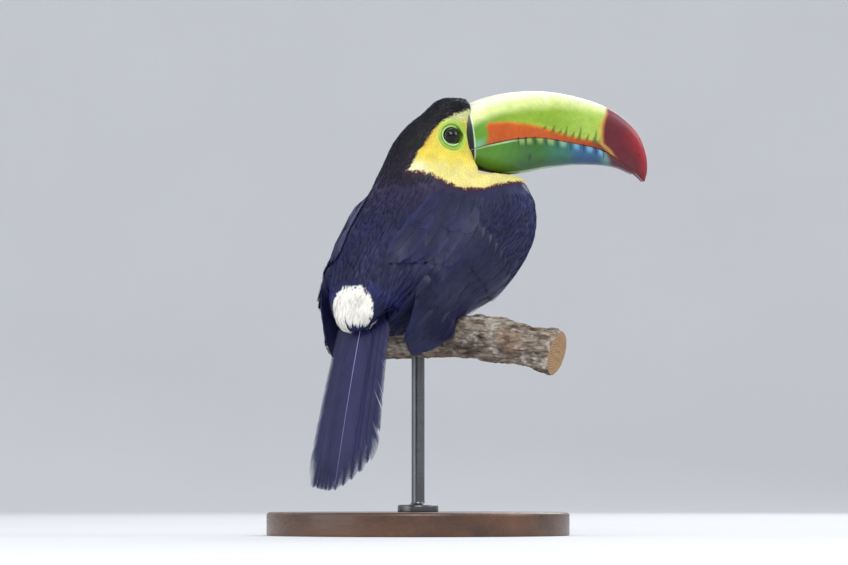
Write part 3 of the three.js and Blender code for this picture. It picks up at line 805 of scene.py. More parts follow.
@dataclass(frozen=True)
class Markings:
    """Where each colour of the bird lies, in one place for the skin and its coat."""

    face_rear: tuple[tuple[float, float], ...] = (
        (-45, -60), (-23, -44.6), (-22, -43.6), (-13.2, -37.3), (-6, -31.7),
        (1, -27.3), (6.8, -22), (11.9, -16.3), (15.9, -7.9), (17.6, -2.5), (20, 4))
    bib_edge: tuple[tuple[float, float], ...] = (
        (-60, -24), (-41.9, -24.9), (-36, -26), (-29.2, -27.7), (-22.3, -32), (-13.6, -35.5),
        (-6.2, -36.9), (4.4, -36.4), (14.6, -34.3), (24.7, -31.5), (40, -29))
    bib_front_dip: float = 13.0
    band_width: float = 1.15
    white_centre: tuple[float, float] = (1.0, 154.5)
    white_reach: tuple[float, float] = (15.2, 14.2)
    white_lobe: tuple[float, float, float] = (-10.5, 142.5, 8.5)
    white_floor: float = 147.5
    tail_forward: float = -61.5
    tail_up: float = 174.0
    tail_lean: float = 0.306

    def edges(self, head: np.ndarray) -> tuple[np.ndarray, np.ndarray]:
        """How far a place lies inside the yellow patch's rear edge and over its lower edge.

        Args:
            head: Places in the head's axes.

        Returns:
            The distance in front of the rear edge, and the height over the lower edge.
        """
        along, side, up = head.T
        wobble = 0.5 * waver(head, 7, 3)
        inside = along - through(list(self.face_rear), up) + wobble
        dip = self.bib_front_dip * ramp(14, -18, side) * ramp(-22, 8, along)
        over = up - through(list(self.bib_edge), along) + dip + wobble
        return inside, over

    def bare(self, head: np.ndarray) -> np.ndarray:
        """Which places are the bare skin round the eye and on to the bill.

        Args:
            head: Places in the head's axes.

        Returns:
            True for each such place.
        """
        along, side, up = head.T
        round_eye = np.hypot((along - EYE_ALONG + 0.4) / 9.2, (up - EYE_UP) / 10.6) < 1
        lore = (along > EYE_ALONG) & (np.abs(up - 1) < 8.5) & (along < 4)
        return (round_eye | lore) & (np.abs(side) > 9)

    def kinds(self, points: np.ndarray, normals: np.ndarray, on_wing: np.ndarray) -> np.ndarray:
        """The kind of surface at each place.

        Args:
            points: Places on the skin.
            normals: The skin's normals there.
            on_wing: Which places lie on a folded wing.

        Returns:
            The number of the Mark of each place.
        """
        head = HEAD.of(points)
        inside, over = self.edges(head)
        forward, right, up = -points[:, 1], -points[:, 0], points[:, 2]
        kinds = np.full(len(points), Mark.BACK.value)
        front = (normals[:, 1] < -0.15) | (up < 172) | ((forward > 20) & (up < 236))
        kinds[front] = Mark.BREAST.value
        thigh = (np.hypot(forward + 12, np.abs(right) - 21) < 17) & (up < 172)
        kinds[thigh] = Mark.THIGH.value
        kinds[on_wing] = Mark.WING.value
        cap = (head[:, 2] > -31 + 3.5 * waver(points, 8, 13)) & (forward < 45)
        kinds[cap] = Mark.CAP.value
        yellow = (inside > 0) & (over > 0) & (forward > -32)
        band = (inside > -1) & (over <= 0) & (over > -self.band_width) & (forward > -32)
        kinds[band] = Mark.BAND.value
        kinds[yellow] = Mark.FACE.value
        kinds[yellow & self.bare(head)] = Mark.BARE.value
        white = np.hypot((right - self.white_centre[0]) / self.white_reach[0],
                         (up - self.white_centre[1]) / self.white_reach[1]) < 1
        lobe_right, lobe_up, lobe_radius = self.white_lobe
        white |= np.hypot((right - lobe_right) / 0.8, up - lobe_up) < lobe_radius
        white &= up > self.white_floor - 10 * ramp(-3, -10, right)
        tail_plane = self.tail_forward - self.tail_lean * (self.tail_up - up)
        kinds[white & (forward < np.maximum(tail_plane + 1, -78))] = Mark.WHITE.value
        red = (forward < -48) & (forward > tail_plane + 3) & (normals[:, 2] < -0.45) & (np.abs(right) < 15)
        kinds[red] = Mark.RED.value
        return kinds

    @staticmethod
    def dyed(colours: np.ndarray, kinds: np.ndarray, dye: np.ndarray, *marks: Mark) -> np.ndarray:
        """The colours, with those of the given marks replaced by the dye."""
        return np.where(np.isin(kinds, [mark.value for mark in marks])[:, None], dye, colours)

    def colours(self, points: np.ndarray, kinds: np.ndarray) -> np.ndarray:
        """The colour at each place, with a painted bluish sheen high on the right breast and painted shade
        low on its front.

        Args:
            points: Places on the skin.
            kinds: The Mark of each.

        Returns:
            Linear colours, one to a row.
        """
        up = points[:, 2]
        forward = -points[:, 1]
        cloud = waver(points, 26, 11)
        navy = mix(rgb(24, 26, 58), rgb(32, 34, 76), np.clip(0.5 + 0.4 * cloud, 0, 1))
        mantle = ramp(215, 240, up) * ramp(20, -15, forward)
        out = mix(navy, rgb(46, 35, 64), 0.6 * mantle)
        head = HEAD.of(points)
        cap = mix(rgb(15, 13, 20), rgb(34, 27, 44), ramp(2, -28, head[:, 2]))
        out = self.dyed(out, kinds, cap, Mark.CAP)
        breast = mix(rgb(24, 27, 62), rgb(38, 44, 100), np.clip(0.4 + 0.5 * cloud, 0, 1))
        out = self.dyed(out, kinds, breast, Mark.BREAST)
        # Painted sheen: a bluish highlight in streaks high on the right side of the breast.
        sheen_distance = np.linalg.norm((points - at(48, 44, 226)) / np.array([1.0, 1.0, 1.25]), axis=1)
        streaks = np.clip(0.5 + 0.7 * waver(points * np.array([1, 1, 0.3]), 5, 15), 0, 1)
        out = mix(out, rgb(78, 86, 150), 0.55 * ramp(30, 8, sheen_distance) * streaks)
        out = self.dyed(out, kinds, rgb(23, 24, 48), Mark.THIGH)
        out = self.dyed(out, kinds, self.face_colours(head), Mark.FACE, Mark.BARE)
        out = self.dyed(out, kinds, rgb(92, 20, 26), Mark.BAND)
        out = self.dyed(out, kinds, rgb(246, 243, 236), Mark.WHITE)
        # Painted shade: the breast darker low down at the front.
        shade = 1 - 0.42 * ramp(205, 165, up) * ramp(-10, 25, forward) * (kinds == Mark.BREAST.value)
        return self.dyed(out * shade[:, None], kinds, rgb(176, 26, 30), Mark.RED)

    def face_colours(self, head: np.ndarray) -> np.ndarray:
        """The greens, yellows and creams of the face and bib.

        Args:
            head: Places in the head's axes.

        Returns:
            Linear colours, one to a row.
        """
        along, _, up = head.T
        wobble = waver(head, 9, 5)
        yellow = np.tile(rgb(236, 216, 84), (len(head), 1))
        cream = mix(yellow, rgb(240, 228, 142), ramp(-14, -25, up + 2 * wobble))
        rear = ramp(8, 0, self.edges(head)[0])
        amber = mix(cream, rgb(216, 160, 40), 0.6 * rear * ramp(-16, -5, up) * ramp(10, 2, up))
        corner = mix(amber, rgb(244, 238, 190), ramp(-27, -38, along) * ramp(-14, -22, up))
        reach = np.hypot((along - EYE_ALONG - 2) / 11, (up - EYE_UP - 1.5) / 12)
        lime = mix(corner, rgb(160, 188, 66), ramp(1.3, 0.6, reach))
        high = mix(lime, rgb(212, 222, 164), 0.85 * ramp(8, 14, up))
        return high * (1 + 0.05 * wobble[:, None])


MARKS = Markings()


# ---------------------------------------------------------------- the skin
MISS_REACH = 40.0


class Surface:
    """A closed mesh that can be asked for its nearest place, its normal and its own unwrap."""

    def __init__(self, piece: bpy.types.Object) -> None:
        """Reads the mesh, which has four corners to each face.

        Args:
            piece: The mesh object.
        """
        mesh = piece.data
        self.points = points_of(piece)
        flat = np.zeros(len(mesh.loops), np.int32)
        mesh.loops.foreach_get("vertex_index", flat)
        self.faces = flat.reshape(-1, 4)
        normals = np.zeros(len(mesh.vertices) * 3, np.float32)
        mesh.vertex_normals.foreach_get("vector", normals)
        self.vertex_normals = normals.reshape(-1, 3).astype(float)
        self.normals = unit(self.vertex_normals[self.faces].mean(1))
        self.centres = self.points[self.faces].mean(1)
        corners = self.points[self.faces]
        across = np.cross(corners[:, 2] - corners[:, 0], corners[:, 3] - corners[:, 1])
        self.areas = np.linalg.norm(across, axis=1) / 2
        self.tree = BVHTree.FromPolygons(self.points.tolist(), self.faces.tolist())
        self.unwrap = np.full((len(self.faces), 2), 0.5)

    def read_unwrap(self, piece: bpy.types.Object) -> None:
        """Keeps the middle of each face on the piece's unwrap.

        Args:
            piece: The mesh object, unwrapped.
        """
        flat = np.zeros(len(piece.data.loops) * 2, np.float32)
        piece.data.uv_layers[BAKE_MAP].data.foreach_get("uv", flat)
        self.unwrap = flat.reshape(-1, 4, 2).mean(1)

    def nearest(self, points: np.ndarray) -> tuple[np.ndarray, np.ndarray]:
        """The nearest places on the surface, and the faces that they lie on."""
        hits = [self.tree.find_nearest(point) for point in points.tolist()]
        return np.array([hit[0] for hit in hits]), np.array([hit[2] for hit in hits])

    def cast(self, starts: np.ndarray, directions: np.ndarray) -> tuple[np.ndarray, np.ndarray]:
        """Where rays first meet the surface.

        Args:
            starts: Where the rays start.
            directions: Where they point.

        Returns:
            The places and the faces there. A ray that misses gives the place nearest to a point
            on it, at the distance MISS_REACH.
        """
        places, faces = starts.copy(), np.zeros(len(starts), int)
        for i, (start, direction) in enumerate(zip(starts.tolist(), directions.tolist())):
            hit = self.tree.ray_cast(start, direction)
            if hit[0] is None:
                hit = self.tree.find_nearest(Vector(start) + Vector(direction) * MISS_REACH)
            places[i], faces[i] = hit[0], hit[2]
        return places, faces

    def scatter(
        self, wanted: np.ndarray, spacing: float, rng: np.random.Generator
    ) -> tuple[np.ndarray, np.ndarray]:
        """Places about evenly spread over some of the faces.

        Args:
            wanted: Which faces take a place.
            spacing: The least distance between two places.
            rng: The source of chance.

        Returns:
            The places, and the face of each.
        """
        pool = np.flatnonzero(wanted)
        if len(pool) == 0:
            return np.zeros((0, 3)), np.zeros(0, int)
        areas = self.areas[pool]
        count = int(4.5 * areas.sum() / spacing**2)
        faces = rng.choice(pool, count, p=areas / areas.sum())
        u, v = rng.uniform(0, 1, (2, count, 1))
        a, b, c, d = np.moveaxis(self.points[self.faces[faces]], 1, 0)
        places = (a * (1 - u) + b * u) * (1 - v) + (d * (1 - u) + c * u) * v
        kept = self.thinned(places, spacing)
        return places[kept], faces[kept]

    @staticmethod
    def thinned(places: np.ndarray, spacing: float) -> list[int]:
        """Thins places out.

        Args:
            places: The places, taken in order.
            spacing: The least distance between two that are kept.

        Returns:
            The numbers of those that are kept.
        """
        cells: dict[tuple[int, int, int], list[tuple[float, float, float]]] = {}
        kept = []
        least = spacing * spacing
        keys = np.floor(places / spacing).astype(int).tolist()
        around = [(i, j, k) for i in (-1, 0, 1) for j in (-1, 0, 1) for k in (-1, 0, 1)]
        for index, ((x, y, z), (p, q, r)) in enumerate(zip(keys, places.tolist())):
            near = (spot for i, j, k in around for spot in cells.get((x + i, y + j, z + k), ()))
            if any((p - a) ** 2 + (q - b) ** 2 + (r - c) ** 2 < least for a, b, c in near):
                continue
            cells.setdefault((x, y, z), []).append((p, q, r))
            kept.append(index)
        return kept


@dataclass
class Skin:
    """One skin in place of the flesh, a coat's depth inside it but for creases and the face's rim."""

    flesh: tuple[str, ...] = ("trunk", "neck", "head", "thigh_right", "thigh_left", "wing_right", "wing_left")
    bridge: float = 0.55
    voxel: float = 1.5
    passes: int = 22
    coat_depth: float = 1.0
    face_depth: float = 0.5
    bare_depth: float = 0.35
    forward_edge: float = 3.8

    def build(self, frame: dict) -> tuple[bpy.types.Object, Surface]:
        """Joins, fuses, smooths and shrinks the flesh.

        Args:
            frame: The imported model.

        Returns:
            The skin and its surface.
        """
        skin = self.fused(frame)
        points = self.relaxed(skin)
        set_points(skin, points)
        surface = Surface(skin)
        depth = self.bridge + self.depths(points)
        set_points(skin, points - surface.vertex_normals * depth[:, None])
        edit_whole(skin, lambda: bpy.ops.uv.smart_project(
            angle_limit=math.radians(66), island_margin=0.002))
        skin.data.uv_layers[0].name = BAKE_MAP
        surface = Surface(skin)
        surface.read_unwrap(skin)
        return skin, surface

    def fused(self, frame: dict) -> bpy.types.Object:
        """The flesh nodes' copies joined and remeshed.

        Args:
            frame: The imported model.

        Returns:
            One closed shell.
        """
        copies = []
        for name in self.flesh:
            copy = bpy.data.objects.new("skin", frame["nodes"][name].data.copy())
            bpy.context.scene.collection.objects.link(copy)
            copies.append(copy)
        clear_selection()
        for copy in copies:
            copy.select_set(True)
        bpy.context.view_layer.objects.active = copies[0]
        bpy.ops.object.join()
        skin = copies[0]
        tidy_normals(skin)
        apply_modifier(skin, "DISPLACE", strength=self.bridge * MM, mid_level=0.0)
        apply_modifier(skin, "REMESH", mode="VOXEL", voxel_size=self.voxel * MM, use_smooth_shade=True)
        return skin

    def relaxed(self, skin: bpy.types.Object) -> np.ndarray:
        """Smooths the skin, weakly round the bill's root.

        Args:
            skin: The shell.

        Returns:
            Its new points. Creases fill a little, so they come to lie outside the flesh.
        """
        points = points_of(skin)
        flat = np.zeros(len(skin.data.edges) * 2, np.int32)
        skin.data.edges.foreach_get("vertices", flat)
        edges = flat.reshape(-1, 2)
        count = len(points)
        degree = np.bincount(edges.ravel(), minlength=count)[:, None]
        head = HEAD.of(points)
        firm = ramp(-9, -3, head[:, 0]) * ramp(-31, -25, head[:, 2])
        factor = (0.5 * (1 - 0.85 * firm))[:, None]
        for _ in range(self.passes):
            sums = [np.bincount(edges[:, 0], points[edges[:, 1], k], count)
                    + np.bincount(edges[:, 1], points[edges[:, 0], k], count) for k in range(3)]
            points = points + factor * (np.stack(sums, 1) / degree - points)
        return points + self.brow(points)

    def brow(self, points: np.ndarray) -> np.ndarray:
        """The push that carries the face's rounded front edge up to the bill's root.

        Args:
            points: Places on the skin.

        Returns:
            How far each moves.
        """
        head = HEAD.of(points)
        near = ramp(-13, -3, head[:, 0]) * ramp(10, 3, head[:, 0])
        side = np.maximum(ramp(5, 12, np.abs(head[:, 1])), ramp(13, 20, head[:, 2]))
        tall = ramp(-27, -21, head[:, 2])
        return (self.forward_edge * near * side * tall)[:, None] * HEAD.axes()[0]

    def depths(self, points: np.ndarray) -> np.ndarray:
        """How far the skin is drawn in.

        Args:
            points: Places on the skin.

        Returns:
            A depth for each place.
        """
        head = HEAD.of(points)
        inside, over = MARKS.edges(head)
        face = ramp(-2, 4, inside) * ramp(-2, 4, over)
        near_eye = np.hypot(head[:, 0] - EYE_ALONG, head[:, 2] - EYE_UP)
        bare = face * ramp(13, 8, near_eye)
        depth = self.coat_depth + (self.face_depth - self.coat_depth) * ramp(-40, -20, head[:, 2])
        return depth + (self.bare_depth - self.face_depth) * bare


@dataclass(frozen=True)
class WingFrame:
    """The folded wings' axis, along the side of the bird from the shoulder to the tip."""

    pitch: float = 38.0
    forward: float = 70.0
    up: float = 226.0
    length: float = 167.0

    def axes(self, side: int) -> np.ndarray:
        """Rows that point to the tip, out to the wing's side, and up over the back.

        Args:
            side: 1 for the right wing and -1 for the left one.

        Returns:
            Three unit rows.
        """
        angle = math.radians(self.pitch)
        tipward = -at(math.cos(angle), 0, math.sin(angle))
        over = at(-math.sin(angle), 0, math.cos(angle))
        return np.stack([tipward, at(0, side, 0), over])

    def of(self, points: np.ndarray) -> tuple[np.ndarray, np.ndarray]:
        """How far back each place lies, and its angle round from the back down the side."""
        local = (points - at(self.forward, 0, self.up)) @ self.axes(1).T
        return local[:, 0], np.degrees(np.arctan2(np.abs(local[:, 1]), local[:, 2]))

    def rays(self, side: int, back: np.ndarray, angle: np.ndarray) -> tuple[np.ndarray, np.ndarray]:
        """Rays out through the wing.

        Args:
            side: 1 for the right wing and -1 for the left one.
            back: How far back along the axis each starts.
            angle: Degrees round it from the back down the side.

        Returns:
            The starts and the directions.
        """
        tipward, out, over = self.axes(side)
        starts = at(self.forward, 0, self.up) + back[:, None] * tipward
        turn = np.radians(angle)[:, None]
        return starts, np.sin(turn) * out + np.cos(turn) * over


WING = WingFrame()


Stroke = tuple[tuple[float, float, float], tuple[float, float, float]]


class Lie:
    """The direction in which the coat lies, from a few given strokes."""

    head_strokes: tuple[Stroke, ...] = (
        ((0, 0, 24), (-1, 0, 0.05)), ((-18, 0, 21), (-0.9, 0, -0.42)), ((-36, 0, 8), (-0.7, 0, -0.7)),
        ((-48, 0, -10), (-0.45, 0, -0.9)), ((-56, 0, -30), (-0.5, 0, -0.86)),
        ((-4, 19, 12), (-0.95, 0, 0.1)), ((-24, 19, 4), (-0.8, 0, -0.55)), ((-34, 21, -12), (-0.6, 0, -0.8)),
        ((-12, 20, -14), (-0.45, 0, -0.9)), ((-4, 20, -10), (-0.35, 0, -0.93)),
        ((-20, 34, -28), (-0.2, 0, -0.98)), ((4, 30, -30), (0.25, 0, -0.95)),
        ((22, 20, -29), (0.75, -0.2, -0.6)),
        ((6, 8, -26), (0.5, 0.3, -0.8)), ((26, 0, -32), (0.5, 0, -0.85)))
    body_strokes: tuple[Stroke, ...] = (
        ((-28, 0, 242), (-0.7, 0, -0.7)), ((-55, 0, 212), (-0.6, 0, -0.8)),
        ((-76, 0, 182), (-0.35, 0, -0.93)),
        ((-85, 0, 155), (-0.2, 0, -0.98)), ((-45, 30, 205), (-0.66, 0.05, -0.75)),
        ((78, 0, 225), (0.1, 0, -1)), ((80, 0, 205), (-0.3, 0, -0.95)), ((70, 0, 182), (-0.75, 0, -0.65)),
        ((40, 0, 166), (-0.98, 0, -0.2)), ((0, 0, 158), (-0.99, 0, -0.1)), ((-45, 0, 140), (-0.9, 0, -0.4)),
        ((60, 45, 228), (-0.3, 0.1, -0.95)), ((60, 45, 195), (-0.7, 0, -0.7)),
        ((20, 45, 175), (-0.9, 0, -0.4)), ((30, 55, 215), (-0.72, 0, -0.68)),
        ((0, 52, 200), (-0.79, 0, -0.62)), ((-45, 42, 165), (-0.75, 0, -0.66)),
        ((-12, 25, 158), (-0.3, 0, -0.95)), ((-70, 0, 140), (-0.4, 0, -0.9)))

    def __init__(self, reach: float = 9.0) -> None:
        """Carries the strokes to the model, on both sides.

        Args:
            reach: The distance within which one stroke alone rules.
        """
        axes = HEAD.axes()
        places, strokes = [], []
        for side in (1, -1):
            for (along, out, up), (da, ds, du) in self.head_strokes:
                places.append(HEAD.place(np.array([along, out * side, up])))
                strokes.append(np.array([da, ds * side, du]) @ axes)
            for (forward, out, up), (df, ds, du) in self.body_strokes:
                places.append(at(forward, out * side, up))
                strokes.append(at(df, ds * side, du))
        self.places, self.strokes, self.reach = np.stack(places), unit(np.stack(strokes)), reach

    def along(self, points: np.ndarray, normals: np.ndarray) -> np.ndarray:
        """The coat's direction, flat on the skin.

        Args:
            points: Places on the skin.
            normals: The normals there.

        Returns:
            A direction for each place.
        """
        gaps = ((points[:, None] - self.places) ** 2).sum(-1)
        weights = 1 / (gaps + self.reach**2) ** 2
        flow = weights @ self.strokes
        return unit(flow - normals * (flow * normals).sum(-1, keepdims=True))


@dataclass(frozen=True)
class Tuft:
    """The size and make of the small feathers of one tract, in millimetres."""

    spacing: float
    length: float
    width: float
    strands: int = 5
    rows: int = 3
    lift: float = 1.3
    sink: float = 0.25
    splay: float = 7.0
    ragged: float = 0.12
    split: float = 0.5


@dataclass
class Coat:
    """The small feathers over the skin, tract by tract, each a fan of fine strands."""

    surface: Surface
    lie: Lie
    seed: int = 20

    def grow(self, name: str, wanted: np.ndarray, kinds: np.ndarray, tuft: Tuft,
             scale: Callable[[np.ndarray], np.ndarray] | None = None) -> bpy.types.Object:
        """One tract as a single joined mesh.

        Args:
            name: The piece's name.
            wanted: Which faces of the skin it grows on.
            kinds: The Mark of every face.
            tuft: The size of its feathers.
            scale: Gives each root's size as a share of the tract's, where it varies.

        Returns:
            The piece, painted and mapped.
        """
        self.seed += 1
        rng = np.random.default_rng(self.seed)
        roots, faces = self.surface.scatter(wanted, tuft.spacing, rng)
        share = np.ones(len(roots)) if scale is None else scale(roots)
        sizes = share * rng.uniform(0.86, 1.14, len(roots))
        path, normals = self.combed(roots, faces, tuft, sizes, rng)
        colours = MARKS.colours(roots, kinds[faces])
        points, quads, spots = self.strands(path, normals, tuft, sizes, rng)
        piece = mesh_piece(name, points.reshape(-1, 3), quads)
        each = points.shape[1]
        paint(piece, np.repeat(colours, each, 0))
        store(piece, "tone", np.repeat(rng.uniform(-1, 1, len(roots)), each))
        patch = (spots - 0.5) * BAKE_PATCH
        store_uv(piece, (self.surface.unwrap[faces][:, None] + patch).reshape(-1, 2))
        return piece

    def combed(self, roots: np.ndarray, faces: np.ndarray, tuft: Tuft, sizes: np.ndarray,
               rng: np.random.Generator) -> tuple[np.ndarray, np.ndarray]:
        """The line of each feather over the skin.

        Args:
            roots: Where the feathers start.
            faces: The skin's faces there.
            tuft: The tract's sizes.
            sizes: Each feather's size as a share of the tract's.
            rng: The source of chance.

        Returns:
            The lines, (feathers, rows + 1, 3), and the skin's normals along them.
        """
        sway = np.radians(rng.normal(0, tuft.splay, len(roots)))[:, None]
        step = (tuft.length * sizes / tuft.rows)[:, None]
        places, normal = roots, self.surface.normals[faces]
        path, normals = [places], [normal]
        for _ in range(tuft.rows):
            flow = self.lie.along(places, normal)
            flow = flow * np.cos(sway) + np.cross(normal, flow) * np.sin(sway)
            places, touched = self.surface.nearest(places + flow * step)
            normal = self.surface.normals[touched]
            path.append(places)
            normals.append(normal)
        return np.stack(path, 1), np.stack(normals, 1)

    def strands(self, path: np.ndarray, normals: np.ndarray, tuft: Tuft, sizes: np.ndarray,
                rng: np.random.Generator) -> tuple[np.ndarray, np.ndarray, np.ndarray]:
        """The strands of every feather.

        Args:
            path: The lines of the feathers, (feathers, rows + 1, 3).
            normals: The skin's normals along them.
            tuft: The tract's sizes.
            sizes: Each feather's size as a share of the tract's.
            rng: The source of chance.

        Returns:
            The vertices (feathers, vertices of each, 3), the faces, and each vertex's place across
            and along its feather from 0 to 1.
        """
        count, rows, strands = len(path), tuft.rows, tuft.strands
        t = np.linspace(0, 1, rows + 1)
        middle = (np.arange(strands) + 0.5) / strands * 2 - 1
        reach = 1 - 0.3 * middle**2 - tuft.ragged * rng.uniform(0, 1, (count, strands))
        at_row = t[None, None] * reach[..., None] * rows
        low = np.minimum(at_row.astype(int), rows - 1)
        part = (at_row - low)[..., None]
        pick_rows = np.arange(count)[:, None, None]
        centre = path[pick_rows, low] * (1 - part) + path[pick_rows, low + 1] * part
        normal = unit(normals[pick_rows, low] * (1 - part) + normals[pick_rows, low + 1] * part)
        forward = unit(path[:, -1] - path[:, 0])[:, None, None]
        side = unit(np.cross(np.broadcast_to(forward, normal.shape), normal))
        wide = (0.34 + 0.66 * ramp(0, 0.5, t)) * (1 - 0.12 * ramp(0.7, 1, t))
        taper = 1 - 0.86 * ramp(tuft.split, 1, t)
        half = tuft.width / 2 * sizes[:, None, None] * wide
        across = middle[None, :, None] * half
        fray = rng.normal(0, 0.05, (count, strands, 1)) * t * tuft.width
        lift = (tuft.lift * rng.uniform(0.7, 1.3, count) * sizes**0.5)[:, None, None]
        height = lift * t**1.15 - tuft.sink - 0.2 * half * middle[None, :, None] ** 2
        core = centre + side * (across + fray)[..., None] + normal * height[..., None]
        edge = side * (half / strands * taper * 1.3)[..., None]
        tilt = normal * (half / strands * 0.25)[..., None] * np.sign(middle)[None, :, None, None]
        both = np.stack([core - edge + tilt, core + edge - tilt], 3)
        points = both.reshape(count, strands * (rows + 1) * 2, 3)
        k, r = np.meshgrid(np.arange(strands), np.arange(rows), indexing="ij")
        first = (k * (rows + 1) + r) * 2
        one = np.stack([first, first + 1, first + 3, first + 2], -1).reshape(-1, 4)
        each = strands * (rows + 1) * 2
        quads = (one[None] + np.arange(count)[:, None, None] * each).reshape(-1, 4)
        u = np.broadcast_to((middle * 0.45 + 0.5)[:, None, None], (strands, rows + 1, 2))
        v = np.broadcast_to(t[None, :, None], (strands, rows + 1, 2))
        spots = np.broadcast_to(np.stack([u, v], -1).reshape(1, each, 2), (count, each, 2))
        return points, quads, spots


# ---------------------------------------------------------------- long feathers
STATIONS = 40


@dataclass(frozen=True)
class Quill:
    """One long feather: its line, its layer, and how wide its two vanes are."""

    path: np.ndarray
    normals: np.ndarray
    leading: float
    trailing: float
    layer: float = 0.0
    worn: float = 0.15
    tone: float = 0.0
    blunt: float = 0.55
    cup: float = 0.06


@dataclass
class Vanes:
    """Builds long feathers barb by barb, with a shaft, and joins them into pieces."""

    rng: np.random.Generator
    pitch: float = 0.62
    cells: int = 3
    parts: list = field(default_factory=list)
    shafts: list = field(default_factory=list)

    def add(
        self, quill: Quill, colour: np.ndarray, edge: np.ndarray, shaft: np.ndarray, root_uv: np.ndarray
    ) -> None:
        """Adds one feather.

        Args:
            quill: Its line and sizes.
            colour: The colour of its vanes.
            edge: The colour of their outer rims.
            shaft: The colour of its shaft.
            root_uv: Its place on the bake map.
        """
        line = smooth_curve([tuple(p) for p in quill.path], STATIONS)
        normals = unit(smooth_curve([tuple(n) for n in quill.normals], STATIONS))
        length = float(np.linalg.norm(np.diff(line, axis=0), axis=1).sum())
        forward = unit(np.gradient(line, axis=0))
        side = unit(np.cross(forward, normals))
        for sign, width in ((-1, quill.leading), (1, quill.trailing)):
            part = self.vane(quill, line, normals, side * sign, length, width, colour, edge, root_uv)
            self.parts.append((part[0], part[1][:, ::-sign], *part[2:]))
        radius = 0.5 * (0.9 - 0.7 * np.linspace(0, 1, STATIONS)) * min(1.0, length / 110 + 0.35)
        raised = line + normals * (quill.layer + 0.18)
        points, quads = tube(raised[:-1], radius[:-1], 6, 0.7)
        count = len(points)
        self.shafts.append((points, quads, np.tile(shaft, (count, 1)), np.tile(root_uv, (count, 1))))

    def outline(self, share: np.ndarray, blunt: float) -> np.ndarray:
        """A vane's width as a share of its full width.

        Args:
            share: Places along it, from 0 to 1.
            blunt: How suddenly it ends.

        Returns:
            The width at each place.
        """
        swell = 0.45 + 0.55 * ramp(0, 0.2, share)
        tip = np.clip((share - 1 + 0.22 * blunt + 0.08) / (0.22 * blunt + 0.08), 0, 1)
        return swell * np.sqrt(np.clip(1 - tip**2.2, 0, 1))

    def vane(self, quill: Quill, line: np.ndarray, normals: np.ndarray, side: np.ndarray, length: float,
             width: float, colour: np.ndarray, edge: np.ndarray, root_uv: np.ndarray) -> tuple:
        """The barbs on one side of a shaft.

        Args:
            quill: The feather.
            line: STATIONS points along its shaft.
            normals: The normals there.
            side: The directions out from the shaft.
            length: The shaft's length.
            width: The vane's full width.
            colour: The vane's colour.
            edge: The colour of its outer rim.
            root_uv: Its place on the bake map.

        Returns:
            The vertices, faces, colours, tones and map places.
        """
        count = max(int(length / self.pitch), 12)
        root = np.linspace(0.03, 0.985, count)
        lean = 2.1 + 4.5 * ramp(0.75, 1.0, root)
        bundle = np.cumsum(self.rng.uniform(0, 1, count) < 0.11)
        drift = self.rng.normal(0, 1, bundle.max() + 1)[bundle]
        low, high = np.zeros(count), np.full(count, float(width))
        for _ in range(12):
            reach = (low + high) / 2
            out = np.clip(root + reach * lean / length, 0, 1)
            within = width * self.outline(out, quill.blunt) > reach
            low, high = np.where(within, reach, low), np.where(within, high, reach)
        reach = np.maximum(low, 0.35)
        torn = np.clip(self.rng.normal(0.2, 0.5, bundle.max() + 1), 0, 1)[bundle]
        wear = 1 - quill.worn * torn * ramp(0.3, 0.9, root)
        reach *= wear * (1 - 0.04 * self.rng.uniform(0, 1, count))
        q = np.linspace(0, 1, self.cells + 1)
        spread = reach * lean * (1 + 0.1 * quill.worn * drift)
        run = np.clip(root[:, None] + (q[None] ** 0.92) * (spread / length)[:, None], 0, 1.04)
        x = q[None] * reach[:, None]
        half = 0.62 * (0.955 / count) * (1 - 0.55 * q[None] ** 3)
        stations = np.linspace(0, 1, STATIONS)
        sides = []
        for sign in (-1, 1):
            t = run + sign * half
            beyond = np.clip(t - 1, 0, None)[..., None] * length
            place, out, up = (
                np.stack([np.interp(t, stations, rows[:, k]) for k in range(3)], -1)
                for rows in (line, side, normals))
            tipward = unit(line[-1] - line[-3])
            ruffle = 0.04 * drift[:, None] * q
            rise = quill.layer - quill.cup * x * (x / max(width, 1)) + 0.012 * sign + ruffle
            sides.append(place + beyond * tipward + out * x[..., None] + up * rise[..., None])
        points = np.stack(sides, 2).reshape(-1, 3)
        k, r = np.meshgrid(np.arange(count), np.arange(self.cells), indexing="ij")
        first = (k * (self.cells + 1) + r) * 2
        quads = np.stack([first, first + 1, first + 3, first + 2], -1).reshape(-1, 4)
        rim = ramp(0.86, 1.0, np.repeat(np.tile(q, count), 2)) * 0.7
        colours = mix(np.tile(colour, (len(points), 1)), np.tile(edge, (len(points), 1)), rim)
        tones = np.repeat(quill.tone + 0.2 * drift, (self.cells + 1) * 2)
        across = np.repeat(np.tile(q, count), 2)
        down = np.repeat(np.repeat(root, self.cells + 1), 2)
        spots = root_uv + (np.stack([across * 0.5, down], -1) - 0.5) * BAKE_PATCH
        return points, quads, colours, np.clip(tones, -1, 1), spots

    def finish(self, name: str) -> tuple[bpy.types.Object, bpy.types.Object]:
        """Joins the vanes into one piece and the shafts into another.

        Args:
            name: The start of both pieces' names.

        Returns:
            The vanes and the shafts.
        """
        points, quads = joined([(part[0], part[1]) for part in self.parts])
        vanes = mesh_piece(name + "_vanes", points, quads)
        paint(vanes, np.concatenate([part[2] for part in self.parts]))
        store(vanes, "tone", np.concatenate([part[3] for part in self.parts]))
        store_uv(vanes, np.concatenate([part[4] for part in self.parts]))
        points, quads = joined([(part[0], part[1]) for part in self.shafts])
        shafts = mesh_piece(name + "_shafts", points, quads)
        paint(shafts, np.concatenate([part[2] for part in self.shafts]))
        store(shafts, "tone", np.zeros(len(points)))
        store_uv(shafts, np.concatenate([part[3] for part in self.shafts]))
        return vanes, shafts


